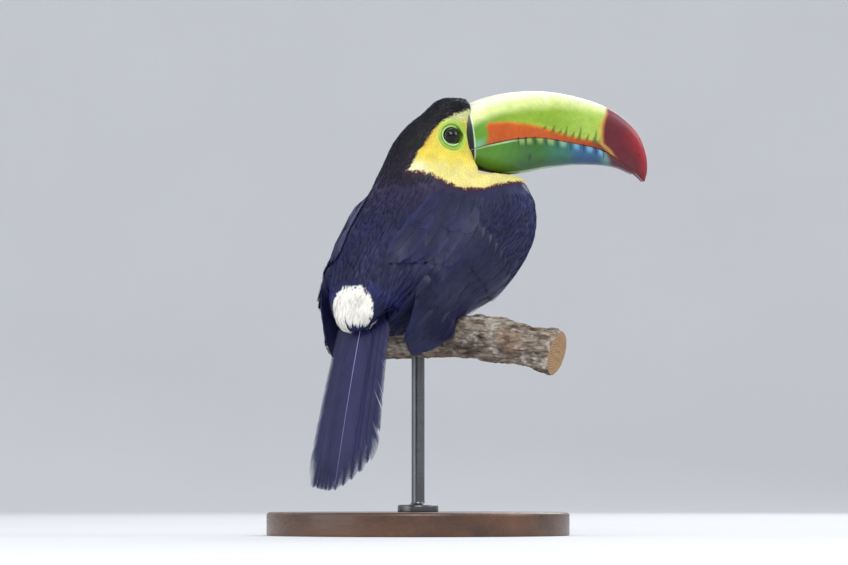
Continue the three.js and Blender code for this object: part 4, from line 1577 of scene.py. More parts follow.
@dataclass(frozen=True)
class FeatherRow:
    """One row of a wing's long feathers, from the one next the back to the one next the belly.

    Shares are of the wing's length, and degrees run round it from the back down the side.
    """

    name: str
    count: int
    root_share: tuple[float, float]
    tip_share: tuple[float, float]
    root_angle: tuple[float, float]
    tip_angle: tuple[float, float]
    vanes: tuple[float, float]
    layer: tuple[float, float]
    worn: float = 0.15
    bend: float = 3.0


WING_ROWS = (
    FeatherRow("primaries", 7, (0.56, 0.46), (1.0, 0.82), (66, 100), (76, 104), (4.5, 8.5), (0.7, 0.2)),
    FeatherRow("secondaries", 8, (0.38, 0.34), (0.9, 0.68), (48, 100), (54, 104), (6.5, 11.0), (1.2, 0.4)),
    FeatherRow("tertials", 3, (0.38, 0.36), (0.84, 0.9), (46, 52), (48, 56), (6.0, 12.0), (1.6, 1.4)),
    FeatherRow("great_coverts", 9, (0.36, 0.32), (0.62, 0.5), (46, 102), (50, 104), (6.5, 9.0), (1.6, 0.8)),
    FeatherRow("scapulars", 5, (0.46, 0.36), (0.81, 0.7), (24, 46), (23, 50), (8.5, 9.5), (1.9, 1.7), 0.1),
    FeatherRow(
        "near_scapulars", 4, (0.34, 0.3), (0.62, 0.52), (26, 44), (25, 46), (8.5, 9.0), (2.1, 2.0), 0.1),
)


@dataclass
class FoldedWings:
    """The long feathers of both folded wings."""

    surface: Surface
    shells: dict[int, BVHTree]
    vane: tuple[int, int, int] = (25, 27, 61)
    rim: tuple[int, int, int] = (38, 40, 82)
    shaft: tuple[int, int, int] = (24, 23, 44)
    lobe_rim: tuple[int, int, int] = (54, 58, 108)
    left_primary_sheen: tuple[int, int, int] = (62, 68, 110)
    stations: int = 7
    outside: float = 78.0
    depth: float = 0.9
    buried: float = 1.6
    lower_edge: tuple[tuple[float, float], ...] = (
        (0, 80), (0.08, 104), (0.25, 116), (0.5, 116), (0.75, 112), (0.9, 110), (1, 102))

    def build(self) -> list[bpy.types.Object]:
        """Both wings' vanes and shafts.

        Returns:
            Two pieces for each wing.
        """
        pieces = []
        for side, word in ((1, "right"), (-1, "left")):
            vanes = Vanes(np.random.default_rng(71 + side))
            for row in WING_ROWS:
                self.lay_row(vanes, row, side)
            pieces.extend(vanes.finish("wing_" + word))
        return pieces

    def lay_row(self, vanes: Vanes, row: FeatherRow, side: int) -> None:
        """Lays one row of feathers over one wing.

        Args:
            vanes: What collects the feathers.
            row: The row's sizes.
            side: 1 for the right wing and -1 for the left one.
        """
        for index in range(row.count):
            part = index / max(row.count - 1, 1)
            slip = vanes.rng.normal(0, 0.006)
            t = np.linspace(0, 1, self.stations)
            ends = [low + (high - low) * part for low, high in (row.root_share, row.tip_share)]
            turns = [low + (high - low) * part for low, high in (row.root_angle, row.tip_angle)]
            share = ends[0] + (ends[1] + slip - ends[0]) * t
            angle = turns[0] + (turns[1] - turns[0]) * t + row.bend * np.sin(math.pi * t)
            places, normals, face = self.on_shell(side, share, angle)
            rise = row.layer[0] + (row.layer[1] - row.layer[0]) * part
            path = places + normals * (rise * ramp(0, 0.4, t) - self.buried * ramp(0.22, 0, t))[:, None]
            tone = float(np.clip(vanes.rng.normal(0, 0.35), -1, 1))
            lobe = row.name.endswith("scapulars")
            # Painted sheen: the left wing's lower primaries a paler blue.
            pale = side < 0 and row.name == "primaries" and part > 0.6
            colour = rgb(*(self.left_primary_sheen if pale else self.vane))
            leading, trailing = row.vanes if side > 0 else row.vanes[::-1]
            quill = Quill(path, normals, trailing, leading, 0.0, row.worn, tone, 0.9, 0.1)
            rim = rgb(*(self.lobe_rim if lobe else self.rim))
            vanes.add(quill, colour, rim, rgb(*self.shaft), self.surface.unwrap[face])

    def on_shell(self, side: int, share: np.ndarray, angle: np.ndarray) -> tuple[np.ndarray, np.ndarray, int]:
        """Places of a wing's outer side.

        Args:
            side: 1 for the right wing and -1 for the left one.
            share: How far along the wing, from 0 to 1.
            angle: Degrees round it.

        Returns:
            The places, the normals there, and the skin's face under the first place.
        """
        low = through(list(self.lower_edge), share)
        starts, out = WING.rays(side, share * WING.length, np.minimum(angle, low - 4))
        places, faces = self.surface.cast(starts + out * self.outside, -out)
        normals = unit(self.surface.normals[faces] + 0.6 * out)
        for i, (start, way) in enumerate(zip((starts + out * self.outside).tolist(), (-out).tolist())):
            hit = self.shells[side].ray_cast(start, way)
            if hit[0] is not None:
                places[i] = np.array(hit[0]) + np.array(way) * self.depth
                normals[i] = unit(np.array(hit[1]) + 0.6 * out[i])
        return places, normals, int(faces[0])


@dataclass
class Tail:
    """Ten long tail feathers in a closed fan, frayed at the lower right.

    Where a size has two values, they are those of the right half and of the left one.
    """

    surface: Surface
    slope: float = 73.0
    root: tuple[float, float, float] = (-61.5, 0.0, 174.0)
    length: float = 150.0
    fall: tuple[float, float] = (3.2, 0.5)
    turn: tuple[float, float] = (5.0, 2.6)
    step: tuple[float, float] = (2.3, 2.5)
    frayed: tuple[float, float] = (0.16, 0.04)
    widths: tuple[float, float] = (8.0, 13.0)
    middle_width: float = 10.5
    vane: tuple[int, int, int] = (35, 36, 74)
    rim: tuple[int, int, int] = (48, 50, 88)
    shaft: tuple[int, int, int] = (31, 30, 54)
    bright_shaft: tuple[int, int, int] = (140, 136, 186)

    def axes(self) -> np.ndarray:
        """Rows that point to the bird's right, to the tail's tip, and out of its upper side.

        Returns:
            Three unit rows.
        """
        angle = math.radians(self.slope)
        rootward = at(math.cos(angle), 0, math.sin(angle))
        right = at(0, 1, 0)
        return np.stack([right, -rootward, np.cross(right, rootward)])

    def build(self) -> list[bpy.types.Object]:
        """The tail's vanes and shafts.

        Returns:
            The two pieces.
        """
        vanes = Vanes(np.random.default_rng(90), pitch=0.6)
        right, tipward, upper = self.axes()
        start = at(*self.root)
        _, faces = self.surface.nearest(start[None])
        for n in range(4, -1, -1):
            for side in (-1, 1):
                half = 0 if side > 0 else 1
                length = self.length - self.fall[half] * n**1.3
                turn = math.radians(side * self.turn[half] * (n + 0.4) / 4.4)
                shift = side * (1.5 + self.step[half] * n)
                depth = -1.0 * n - (0.5 if side < 0 else 0)
                direction = tipward * math.cos(turn) + right * math.sin(turn)
                t = np.linspace(0.12, 1, 6)[:, None]
                path = start + right * shift + upper * depth + direction * (length * t)
                path = path + upper * (1.6 * np.sin(math.pi * t))
                normals = np.tile(unit(upper + right * (0.03 * side * n)), (6, 1))
                worn = 0.1 + self.frayed[half] * (n > 1)
                widths = (self.middle_width,) * 2 if n == 0 else self.widths[::side]
                quill = Quill(path, normals, *widths, 0.0, worn, 0.12 * side, 0.5, 0.05)
                shaft = rgb(*(self.bright_shaft if n == 0 and side > 0 else self.shaft))
                vanes.add(quill, rgb(*self.vane), rgb(*self.rim), shaft, self.surface.unwrap[faces[0]])
        return list(vanes.finish("tail"))


# ---------------------------------------------------------------- the bill
@dataclass
class Bill:
    """The two mandibles, lofted between their ridge and their cutting edges."""

    rows: int = 400
    columns: int = 150
    under: int = 30
    draw_out: float = 0.0002
    root_depth: float = 2.4
    culmen: tuple[tuple[float, float], ...] = (
        (0, 21.5), (14, 27.6), (30, 32.2), (49, 34.6), (68, 34.2), (88, 30.6), (105, 24.8),
        (118, 16.4), (127, 6.4), (131.8, -7), (132.8, -18.5), (131.2, -26.6))
    tomium: tuple[tuple[float, float], ...] = (
        (0, -9.5), (14, -5.2), (34, -0.8), (54, 0.6), (76, -2), (94, -5), (106, -9.8), (116, -16),
        (125, -22.5), (129.6, -26.8))
    gonys: tuple[tuple[float, float], ...] = (
        (0, -18.5), (12, -22), (28, -24), (42, -22.7), (60, -18.9), (80, -16.3), (96, -15.9),
        (110, -17.4), (122, -21.8))
    lower_edge: tuple[tuple[float, float], ...] = (
        (0, -9.8), (14, -5.5), (34, -1.1), (54, 0.3), (76, -2.3), (94, -5.3), (106, -10.1),
        (116, -16.3), (123, -21.4))
    half_width: tuple[tuple[float, float], ...] = (
        (0, 18.5), (20, 17.6), (50, 15), (80, 11.6), (105, 8.2), (122, 5.2), (132, 2.2))
    notches: tuple[float, ...] = (37, 42.4, 49, 57.5, 65.5, 75, 85, 94, 99.5)
    scallops: tuple[float, ...] = (39.5, 45, 53, 61, 70, 80, 89.5, 98)
    spikes: tuple[tuple[float, float, float], ...] = (
        (56, 7.4, 9.6), (62.5, 5.8, 10.2), (67, 4.9, 7.6), (71.5, 4.0, 9.6), (77, 2.8, 6.4), (82, 1.8, 9.6),
        (88, 1.0, 5.4), (93.5, 0.4, 8.8), (97, 0, 5))
    blaze_top: tuple[tuple[float, float], ...] = (
        (13, 8.6), (16, 10.2), (30.5, 11.3), (45.5, 9.8), (53, 8.5), (61, 6.5), (68.5, 4.7), (78.5, 2.6),
        (88, 1), (96, 0), (108, -7))
    tip_edge: tuple[tuple[float, float], ...] = (
        (-30, 119), (-13.9, 113.3), (-7.1, 106.9), (-1.1, 99.9), (9.1, 99.2), (20, 103), (30, 106))
    band_edge: tuple[tuple[float, float], ...] = (
        (-24, 6.6), (-18, 5.8), (-10, 5.0), (0, 4.3), (8, 3.6), (16, 2.6), (24, 1.2))

    def build(self) -> list[bpy.types.Object]:
        """The painted upper and lower mandibles.

        Returns:
            The two pieces.
        """
        upper = self.loft("bill_upper_horn", self.culmen, self.tomium, 0.0, 1)
        paint(upper, self.upper_colours(self.unstretched(upper)))
        lower = self.loft("bill_lower_horn", self.gonys, self.lower_edge, 0.8, -1)
        paint(lower, self.lower_colours(self.unstretched(lower)))
        return [upper, lower]

    def unstretched(self, piece: bpy.types.Object) -> np.ndarray:
        """A mandible's vertices in the head's axes, before the tip is drawn out.

        Args:
            piece: The mandible.

        Returns:
            The places, one to a row.
        """
        head = HEAD.of(points_of(piece))
        root = np.sqrt(np.maximum(1 + 4 * self.draw_out * head[:, 0], 0.01))
        head[:, 0] = (root - 1) / (2 * self.draw_out)
        return head

    def teeth(self, along: np.ndarray) -> np.ndarray:
        """How deep the cutting edge is notched at places along it, from 0 to 1."""
        return sum(np.exp(-((along - notch) / 0.8) ** 2) for notch in self.notches)

    def loft(self, name: str, ridge: tuple, edge: tuple, inset: float, way: int) -> bpy.types.Object:
        """One mandible as a closed mesh.

        Args:
            name: The piece's name.
            ridge: The outline of its ridge, in along and up.
            edge: The outline of its cutting edge.
            inset: How much narrower it is than the bill.
            way: 1 for the upper mandible and -1 for the lower one.

        Returns:
            The piece, unpainted.
        """
        top = smooth_curve(list(ridge), self.rows)
        low = smooth_curve(list(edge), self.rows)
        share = np.linspace(0, 1, self.rows)
        wide = through(list(self.half_width), (top[:, 0] + low[:, 0]) / 2) - inset
        angle = np.radians(np.linspace(-90, 90, self.columns))
        across = np.sign(np.sin(angle)) * np.abs(np.sin(angle)) ** 0.82
        rise = np.clip(np.cos(angle), 0, 1) ** 0.9
        back = np.linspace(1, -1, self.under + 2)[1:-1]
        across = np.concatenate([across, back, across[:1]])
        rise = np.concatenate([rise, 0.06 * (1 - back**2), rise[:1]])
        spot = low[:, None] + (top - low)[:, None] * rise[None, :, None]
        along, up = spot[..., 0], spot[..., 1]
        along = along - 0.22 * np.minimum(up, 8) * (1 - share)[:, None]
        near = np.exp(-(rise / 0.1) ** 2)[None] * (np.abs(across) > 0.6)[None]
        up = up + way * 0.3 * self.teeth(along) * near
        swell = np.exp(-((rise - 0.1) / 0.14) ** 2)[None]
        side = wide[:, None] * across[None] - np.sign(across)[None] * 0.35 * self.teeth(along) * swell
        ring = np.stack([along, side, up], -1)
        root = ring[:1] - np.array([self.root_depth, 0, 0])
        root[..., 1] *= 1 - 3.0 / wide[0]
        centre = ring[-1:].mean(1, keepdims=True) + np.zeros_like(ring[-1:])
        plug = root.mean(1, keepdims=True) + np.zeros_like(root)
        full = np.concatenate([plug, root, ring, centre])
        full[..., 0] += self.draw_out * full[..., 0] ** 2
        piece = grid_piece(name, full.shape[0], full.shape[1])
        set_points(piece, HEAD.place(full.reshape(-1, 3)))
        tidy_normals(piece, FINE_MERGE)
        return piece

    def height(self, along: np.ndarray, up: np.ndarray) -> np.ndarray:
        """How high a place is between the cutting edge, 0, and the ridge, 1."""
        low = through(list(self.tomium), along)
        return (up - low) / np.maximum(through(list(self.culmen[:9]), along) - low, 4)

    def upper_colours(self, head: np.ndarray) -> np.ndarray:
        """The upper mandible's greens, orange blaze, red tip and black root, with painted highlights on its
        ridge, the blaze's upper edge and the tip's top.

        Args:
            head: Places in the head's axes, before the tip is drawn out.

        Returns:
            Linear colours, one to a row.
        """
        along, side, up = head.T
        wobble = waver(head, 11, 21)
        fine = waver(head, 3.2, 22)
        h = self.height(along, up) + 0.012 * wobble
        green = mix(rgb(92, 146, 32), rgb(134, 166, 40), ramp(8, 34, along) * 0.9)
        green = mix(green, rgb(158, 190, 74), ramp(60, 90, along))
        low = through([(0, 0.52), (20, 0.58), (47, 0.64), (90, 0.76), (110, 0.8)], along)
        high = through([(0, 0.78), (20, 0.84), (47, 0.88), (90, 0.92), (110, 0.95)], along)
        colour = mix(green, rgb(206, 220, 136), ramp(low - 0.13, low + 0.12, h))
        # Painted highlight: the ridge's top near white.
        colour = mix(colour, rgb(232, 234, 208), ramp(high - 0.14, high + 0.08, h))
        root = ramp(0.2, 0.08, h) * ramp(16, 8, along)
        colour = mix(colour, rgb(120, 176, 140), root * 0.8)
        top = through(list(self.blaze_top), along) + 0.25 * fine
        inside = ramp(-1.1, 1.1, top - up) * ramp(12.6, 16.4, along + 0.5 * wobble + 0.25 * fine)
        blaze = mix(rgb(186, 82, 10), rgb(166, 62, 12), ramp(50, 92, along))
        # Painted highlight: lighter orange along the blaze's upper edge.
        blaze = mix(blaze, rgb(226, 126, 24), 0.6 * ramp(2.4, 0.3, top - up))
        blaze = mix(blaze, rgb(104, 30, 18), ramp(86, 102, along))
        colour = mix(colour, blaze, inside * ramp(112, 104, along))
        glow = np.exp(-((up - top - 1.6) / 1.4) ** 2) * ramp(20, 52, along) * ramp(100, 92, along)
        colour = mix(colour, rgb(172, 186, 66), 0.5 * glow * (1 - inside))
        for place, base, apex in self.spikes:
            rise = np.clip((up - base) / (apex - base), -0.5, 1.5)
            half = 1.25 * (1 - rise) + 0.15 * fine
            mark = ramp(0.8, -0.6, np.abs(along - place - 1.6 * rise + 0.3 * wobble) - half)
            mark = mark * ramp(-0.5, 0.0, rise) * ramp(1.25, 0.8, rise)
            colour = mix(colour, rgb(44, 76, 26), 0.7 * mark)
        notch = self.teeth(along) * ramp(2.6, 0.4, up - through(list(self.tomium), along))
        colour = mix(colour, rgb(70, 30, 20), 0.45 * np.clip(notch, 0, 1))
        edge = along - through(list(self.tip_edge), up) + 0.5 * wobble
        colour = mix(colour, rgb(206, 176, 76), ramp(-5.5, -2.0, edge) * 0.6 * ramp(0.9, 0.6, h))
        colour = mix(colour, rgb(164, 82, 40), ramp(-2.4, -0.4, edge) * 0.85)
        red = mix(rgb(92, 12, 28), rgb(124, 12, 28), ramp(10, 24, edge))
        # Painted highlight: paler maroon on the top of the red tip.
        red = mix(red, rgb(126, 38, 58), 0.7 * ramp(0.62, 0.95, h) * ramp(24, 6, edge))
        red = mix(red, rgb(168, 26, 42), ramp(119, 130, along + 0.3 * up) * 0.7)
        colour = mix(colour, red, ramp(-0.7, 0.9, edge))
        inner = (np.abs(side) < through(list(self.half_width), along) - 1.6) & (h < 0.12)
        colour = np.where(inner[:, None], rgb(92, 46, 34), colour)
        return self.banded(colour, head) * (1 + 0.03 * fine[:, None])

    def lower_colours(self, head: np.ndarray) -> np.ndarray:
        """The lower mandible's green and blue, with pale scallops between dark marks, painted shade towards
        its underside and black along its lower rear edge that is partly painted shadow.

        Args:
            head: Places in the head's axes, before the tip is drawn out.

        Returns:
            Linear colours, one to a row.
        """
        along, side, up = head.T
        wobble = waver(head, 9, 31)
        place = along + 1.4 * wobble
        colour = mix(rgb(76, 132, 26), rgb(48, 104, 34), ramp(20, 46, place))
        colour = mix(colour, rgb(44, 110, 84), ramp(52, 66, place))
        colour = mix(colour, rgb(36, 88, 130), ramp(68, 84, place))
        colour = mix(colour, rgb(106, 152, 148), ramp(96, 104, place))
        top = through(list(self.lower_edge), along)
        depth = top - up
        floor = through(list(self.gonys), along)
        deep = np.clip(depth / np.maximum(top - floor, 2), 0, 1)
        # Painted shade: the same colours darker towards the underside.
        colour = mix(colour, colour * 0.62, ramp(0.45, 1.0, deep))
        pale = mix(rgb(150, 176, 96), rgb(116, 172, 200), ramp(58, 84, along))
        for centre in self.scallops:
            mark = ramp(3.1, 0.8, np.abs(along - centre + 0.4 * wobble)) * ramp(5.2, 0.6, depth)
            colour = mix(colour, pale, 0.85 * mark)
        dark = mix(rgb(24, 52, 22), rgb(18, 44, 66), ramp(55, 80, along))
        for centre in self.notches:
            lean = along - centre - 0.12 * depth
            mark = ramp(1.0, 0.1, np.abs(lean + 0.2 * wobble)) * ramp(6.4, 2.4, depth)
            colour = mix(colour, dark, 0.75 * mark)
        streak = ramp(1.3, 0.5, np.abs(along - 46)) * ramp(-16, -14, up) * ramp(-10, -12, up)
        colour = mix(colour, rgb(20, 44, 18), 0.7 * streak)
        seam = ramp(0.9, 0.3, np.abs(depth - 0.7)) * ramp(39, 33, along)
        colour = mix(colour, rgb(190, 210, 160), 0.8 * seam)
        rim = ramp(0.95, 0.985, deep) * ramp(24, 32, along) * (np.abs(side) > 2.5)
        colour = mix(colour, rgb(156, 200, 150), 0.7 * rim)
        colour = mix(colour, rgb(84, 14, 34), ramp(103, 108, along + 0.5 * up + 8))
        inner = (np.abs(side) < through(list(self.half_width), along) - 2.6) & (depth < 1.2)
        colour = np.where(inner[:, None], rgb(70, 36, 30), colour)
        # Black along the lower rear edge: the root's black line carried on, and painted shadow of the gap to
        # the throat feathers.
        low_edge = through([(0, -13), (8, -18), (16, -21.4), (28, -23.6), (40, -29)], along)
        under = ramp(0.35, -0.25, up - low_edge)
        colour = mix(colour, rgb(8, 8, 10), under * ramp(31, 27, along))
        return self.banded(colour, head)

    def banded(self, colour: np.ndarray, head: np.ndarray) -> np.ndarray:
        """Adds the black band round the bill's root and the pale rim in front of it.

        Args:
            colour: The mandible's colours.
            head: Its places in the head's axes.

        Returns:
            The colours with the band.
        """
        beyond = head[:, 0] - through(list(self.band_edge), head[:, 2])
        rim = ramp(0.0, 0.35, beyond) * ramp(1.3, 0.8, beyond)
        shown = mix(colour, rgb(206, 222, 190), 0.75 * rim)
        return mix(shown, rgb(7, 7, 9), ramp(0.2, -0.2, beyond))


# ---------------------------------------------------------------- eyes and lids
@dataclass
class Eye:
    """One eyeball and the bare folds round it."""

    surface: Surface
    side: int
    word: str
    opening: float = 4.7
    reach: float = 12.5
    front_limit: float = -1.0
    rings: int = 80
    spokes: int = 168
    pupil: float = 3.1

    def centre(self) -> np.ndarray:
        """The eyeball's centre in the head's axes."""
        low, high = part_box("eye_" + self.word)
        return HEAD.of((np.array(low) + np.array(high))[None] / 2 / MM)[0]

    def build(self) -> list[bpy.types.Object]:
        """The painted eyeball and its lids.

        Returns:
            The two pieces.
        """
        centre = self.centre()
        clear_selection()
        place = HEAD.place(centre[None])[0] * MM
        bpy.ops.mesh.primitive_uv_sphere_add(
            segments=96, ring_count=64, radius=EYE_RADIUS * MM, location=place)
        ball = bpy.context.object
        ball.name = ball.data.name = "eyeball_" + self.word
        bpy.ops.object.transform_apply(location=True, rotation=True, scale=True)
        bpy.ops.object.shade_smooth()
        local = HEAD.of(points_of(ball)) - centre
        out = np.hypot(local[:, 0], local[:, 2]) + 9 * (local[:, 1] * self.side < 0)
        bulge = 0.35 * ramp(4.2, 0, out)
        local[:, 1] += self.side * bulge
        set_points(ball, HEAD.place(local + centre))
        iris = mix(rgb(26, 24, 18), rgb(10, 10, 8), ramp(3.4, 4.9, out))
        iris = mix(iris, rgb(4, 4, 5), ramp(self.pupil + 0.15, self.pupil - 0.15, out))
        paint(ball, iris)
        return [ball, self.lids(centre)]

    def lids(self, centre: np.ndarray) -> bpy.types.Object:
        """The lid, the groove round it and the outer fold as one polar sheet.

        Args:
            centre: The eyeball's centre in the head's axes.

        Returns:
            The painted piece.
        """
        r = self.opening - 0.35 + (self.reach - self.opening + 0.35) * np.linspace(0, 1, self.rings) ** 1.25
        a = np.linspace(0, 2 * math.pi, self.spokes + 1)
        radius, angle = np.meshgrid(r, a, indexing="ij")
        front = (self.front_limit - centre[0]) / np.maximum(np.cos(angle), 0.05)
        squeeze = np.minimum(1, front / self.reach)
        radius = radius * (1 + (squeeze - 1) * ramp(7.0, self.reach, radius))
        tall = 1 + 0.05 * np.sin(angle) ** 2
        low_rear = np.clip(-np.sin(angle + 0.5), 0, 1)
        along = centre[0] + radius * np.cos(angle) / tall
        up = centre[2] + radius * np.sin(angle) * tall
        starts = np.stack([along, np.full_like(along, 60.0 * self.side), up], -1).reshape(-1, 3)
        ray = np.array([0.0, -self.side, 0.0]) @ HEAD.axes()
        places, _ = self.surface.cast(HEAD.place(starts), np.tile(ray, (len(starts), 1)))
        base = (HEAD.of(places)[:, 1] * self.side).reshape(radius.shape)
        ball = centre[1] * self.side + np.sqrt(np.clip(EYE_RADIUS**2 - radius**2, 0.2, None))
        fold = 0.35 + 0.55 * low_rear
        wrinkle = 0.1 * np.sin(angle * 34 + 2.2 * np.sin(angle * 5)) * ramp(6.6, 7.6, radius)
        wrinkle = wrinkle + 0.07 * np.sin(radius * 5.4 + 1.7 * np.sin(angle * 3 + 1)) * ramp(7.6, 8.6, radius)
        wrinkle = wrinkle * ramp(11.8, 9.5, radius)
        wrinkle = wrinkle + 0.05 * np.sin(angle * 46) * ramp(4.9, 5.6, radius) * ramp(7.0, 6.4, radius)
        swell = np.exp(-((radius - 6.1) / 0.75) ** 2) + fold * np.exp(-((radius - 8.5) / 0.85) ** 2)
        swell = swell - 0.3 * np.exp(-((radius - 7.25) / 0.4) ** 2) + wrinkle
        brow = np.exp(-((radius - 7.6) / 0.35) ** 2) * np.clip(np.sin(angle - 0.35), 0, 1) ** 1.5
        outer = base + 0.12 + swell - 0.35 * brow - 0.9 * ramp(10.6, self.reach, radius)
        rim = np.maximum(ball + 0.3, base + 0.35)
        height = rim + (outer - rim) * ramp(self.opening + 0.1, 6.0, radius)
        rolled = ball - 0.25 + 0.55 * ramp(r[0], self.opening, radius)
        height = np.where(radius < self.opening, rolled, height)
        head = np.stack([along, height * self.side, up], -1).reshape(-1, 3)
        piece = grid_piece("eyelids_" + self.word, self.rings, self.spokes + 1)
        set_points(piece, HEAD.place(head))
        tidy_normals(piece, FINE_MERGE)
        paint(piece, self.lid_colours(HEAD.of(points_of(piece)), centre))
        return piece

    def lid_colours(self, head: np.ndarray, centre: np.ndarray) -> np.ndarray:
        """The lid's pale green ring, painted shade in its groove, under its outer fold and in the crease
        above it, and lime skin that turns yellow outwards.

        Args:
            head: Places in the head's axes.
            centre: The eyeball's centre there.

        Returns:
            Linear colours, one to a row.
        """
        along, up = head[:, 0] - centre[0], head[:, 2] - centre[2]
        radius, angle = np.hypot(along, up / 1.04), np.arctan2(up, along)
        low_rear = np.clip(-np.sin(angle + 0.45), 0, 1)
        skin = MARKS.face_colours(head)
        green = mix(skin, rgb(150, 190, 62), ramp(12, 8.5, radius) * 0.75)
        # Painted shade: olive in the groove round the lid, darkest below and behind the eye.
        shade = np.exp(-((radius - 7.5) / 0.7) ** 2)
        groove = mix(green, rgb(74, 122, 26), np.clip(shade * (0.35 + 0.65 * low_rear), 0, 1))
        # Painted shade: a darker green band under the outer fold, below and behind the eye.
        low_fold_shade = np.exp(-((radius - 9.4) / 0.8) ** 2) * low_rear
        groove = mix(groove, rgb(104, 140, 34), 0.7 * low_fold_shade)
        fine = waver(head, 1.5, 61) * 0.5 + waver(head, 0.8, 62) * 0.5
        groove = groove * (1 + 0.09 * fine * ramp(6.8, 7.6, radius))[:, None]
        ring = mix(groove, rgb(176, 214, 150), ramp(7.15, 6.6, radius))
        # Painted shade: a dark arc in the crease above the eye.
        crease_shade = np.exp(-((radius - 7.7) / 0.32) ** 2) * np.clip(np.sin(angle - 0.2), 0, 1) ** 1.5
        ring = mix(ring, rgb(44, 66, 28), 0.9 * crease_shade)
        return mix(ring, rgb(40, 52, 34), ramp(5.1, 4.75, radius))


# ---------------------------------------------------------------- legs, feet and claws
@dataclass(frozen=True)
class Toe:
    """One toe's name, its arc round the perch in degrees, and its spread to the side."""

    name: str
    start: float
    end: float
    spread: float


TOES = (Toe("outer_front", 8, 92, 7), Toe("inner_front", 8, 66, -7),
        Toe("outer_back", -8, -84, 8), Toe("inner_back", -8, -50, -6))


@dataclass
class Foot:
    """One foot that grips the perch, two toes before and two behind, with its shank and claws."""

    side: int
    word: str
    perch_up: float = 136.0
    ring: float = 17.15
    place: float = 21.0
    toe_radius: float = 2.7
    shank_radius: float = 3.1
    skin: tuple[int, int, int] = (86, 124, 146)
    claw_length: float = 11.0
    claw_ring: tuple[float, float] = (17.55, 15.1)
    claw_thick: tuple[float, float] = (2.2, 0.3)
    pad_radius: float = 5.67

    def round_perch(self, degrees: np.ndarray, across: np.ndarray, radius: np.ndarray | float) -> np.ndarray:
        """Points round the perch.

        Args:
            degrees: Angles from its top towards the front.
            across: How far out to the foot's side each lies.
            radius: The distance from the perch's middle line.

        Returns:
            The points, one to a row.
        """
        angle = np.radians(degrees)
        points = [at(r * math.sin(a), self.side * s, self.perch_up + r * math.cos(a))
                  for a, s, r in zip(angle, across, np.broadcast_to(radius, angle.shape))]
        return np.stack(points)

    def build(self) -> list[tuple[bpy.types.Object, str]]:
        """The scaled foot and its claws, each with the node that it stands for.

        Returns:
            Pairs of a piece and the name of its node.
        """
        parts = [self.shank(), self.pad()] + [self.toe(toe) for toe in TOES]
        points, quads = joined(parts)
        foot = mesh_piece("scaled_foot_" + self.word, points, quads)
        tidy_normals(foot, FINE_MERGE)
        settled = points_of(foot)
        tone = 0.12 * waver(settled, 5, 41)
        dark = ramp(-1, 1, waver(settled, 2.6, 42))
        paint(foot, mix(rgb(*self.skin), rgb(58, 88, 110), 0.45 * dark) * (1 + tone[:, None]))
        pieces = [(foot, "foot_" + self.word)]
        for toe in TOES:
            pieces.append((self.claw(toe), f"claw_{self.word}_{toe.name}"))
        return pieces

    def scuted(self, line: np.ndarray, radius: np.ndarray, pitch: float, depth: float) -> tuple:
        """A tube whose skin is crossed by scutes and which narrows almost to nothing at its ends.

        Args:
            line: The tube's middle line.
            radius: Its radius along the line.
            pitch: How far apart the scutes are.
            depth: Their depth as a share of the radius.

        Returns:
            The vertices and faces.
        """
        run = np.concatenate([[0], np.cumsum(np.linalg.norm(np.diff(line, axis=0), axis=1))])
        wave = np.abs(np.sin(run / pitch * math.pi)) ** 0.5
        rounded = np.sqrt(np.clip(np.minimum(run, run[-1] - run) / radius, 0.0004, 1))
        return tube(line, radius * (1 + depth * (wave - 0.6)) * rounded, 28)

    def toe(self, toe: Toe) -> tuple[np.ndarray, np.ndarray]:
        """One toe round the perch.

        Args:
            toe: Which toe.

        Returns:
            The vertices and faces.
        """
        share = np.linspace(0, 1, 90)
        degrees = 0.2 * toe.start + (toe.end - 0.2 * toe.start) * share
        across = self.place + toe.spread * np.sqrt(share)
        knuckles = 1 + 0.1 * np.sin(share * math.pi * 4) - 0.12 * share
        line = self.round_perch(degrees, across, self.ring + 0.15 * np.sin(share * 12))
        return self.scuted(line, self.toe_radius * knuckles, 1.9, 0.12)

    def shank(self) -> tuple[np.ndarray, np.ndarray]:
        """The leg from the thigh's feathers down to the ankle.

        Returns:
            The vertices and faces.
        """
        top = at(-20, self.side * 20, 170)
        ankle = at(-1, self.side * self.place, self.perch_up + self.ring + 1)
        middle = (top + ankle) / 2 + at(-1.5, 0, -1)
        line = smooth_curve([tuple(top), tuple(middle), tuple(ankle)], 70)
        radius = self.shank_radius * (1 + 0.12 * np.linspace(-1, 1, 70) ** 2)
        return self.scuted(line, radius, 3.1, 0.1)

    def pad(self) -> tuple[np.ndarray, np.ndarray]:
        """The sole's round pad over the perch.

        Returns:
            The vertices and faces.
        """
        u = np.linspace(0.02, 0.98, 40) * math.pi
        up = self.perch_up + self.ring + 0.6
        line = np.stack([at(-math.cos(a) * self.pad_radius, self.side * self.place, up) for a in u])
        return tube(line, self.pad_radius * np.sin(u), 36, 0.56)

    def claw(self, toe: Toe) -> bpy.types.Object:
        """One curved, pointed claw.

        Args:
            toe: The toe that it ends.

        Returns:
            The painted piece.
        """
        share = np.linspace(0, 1, 60)
        way = 1 if toe.end > 0 else -1
        sweep = (0.2 + self.claw_length * share) / self.ring * 57.3
        (near, far), (root, tip) = self.claw_ring, self.claw_thick
        line = self.round_perch(toe.end + way * sweep, np.full(60, self.place + toe.spread),
                                near + (far - near) * share**1.6)
        thick = root + (tip - root) * share**0.8
        thick[0], thick[-1] = 0.05, 0.02
        points, quads = tube(line, thick, 24, 0.95)
        piece = mesh_piece(f"horn_claw_{self.word}_{toe.name}", points, quads)
        tidy_normals(piece, FINE_MERGE)
        places = points_of(piece)
        gaps = np.linalg.norm(places[:, None] - line[None], axis=2).argmin(1) / 59
        paint(piece, mix(rgb(50, 46, 46), rgb(24, 22, 24), ramp(0.1, 0.7, gaps)))
        return piece


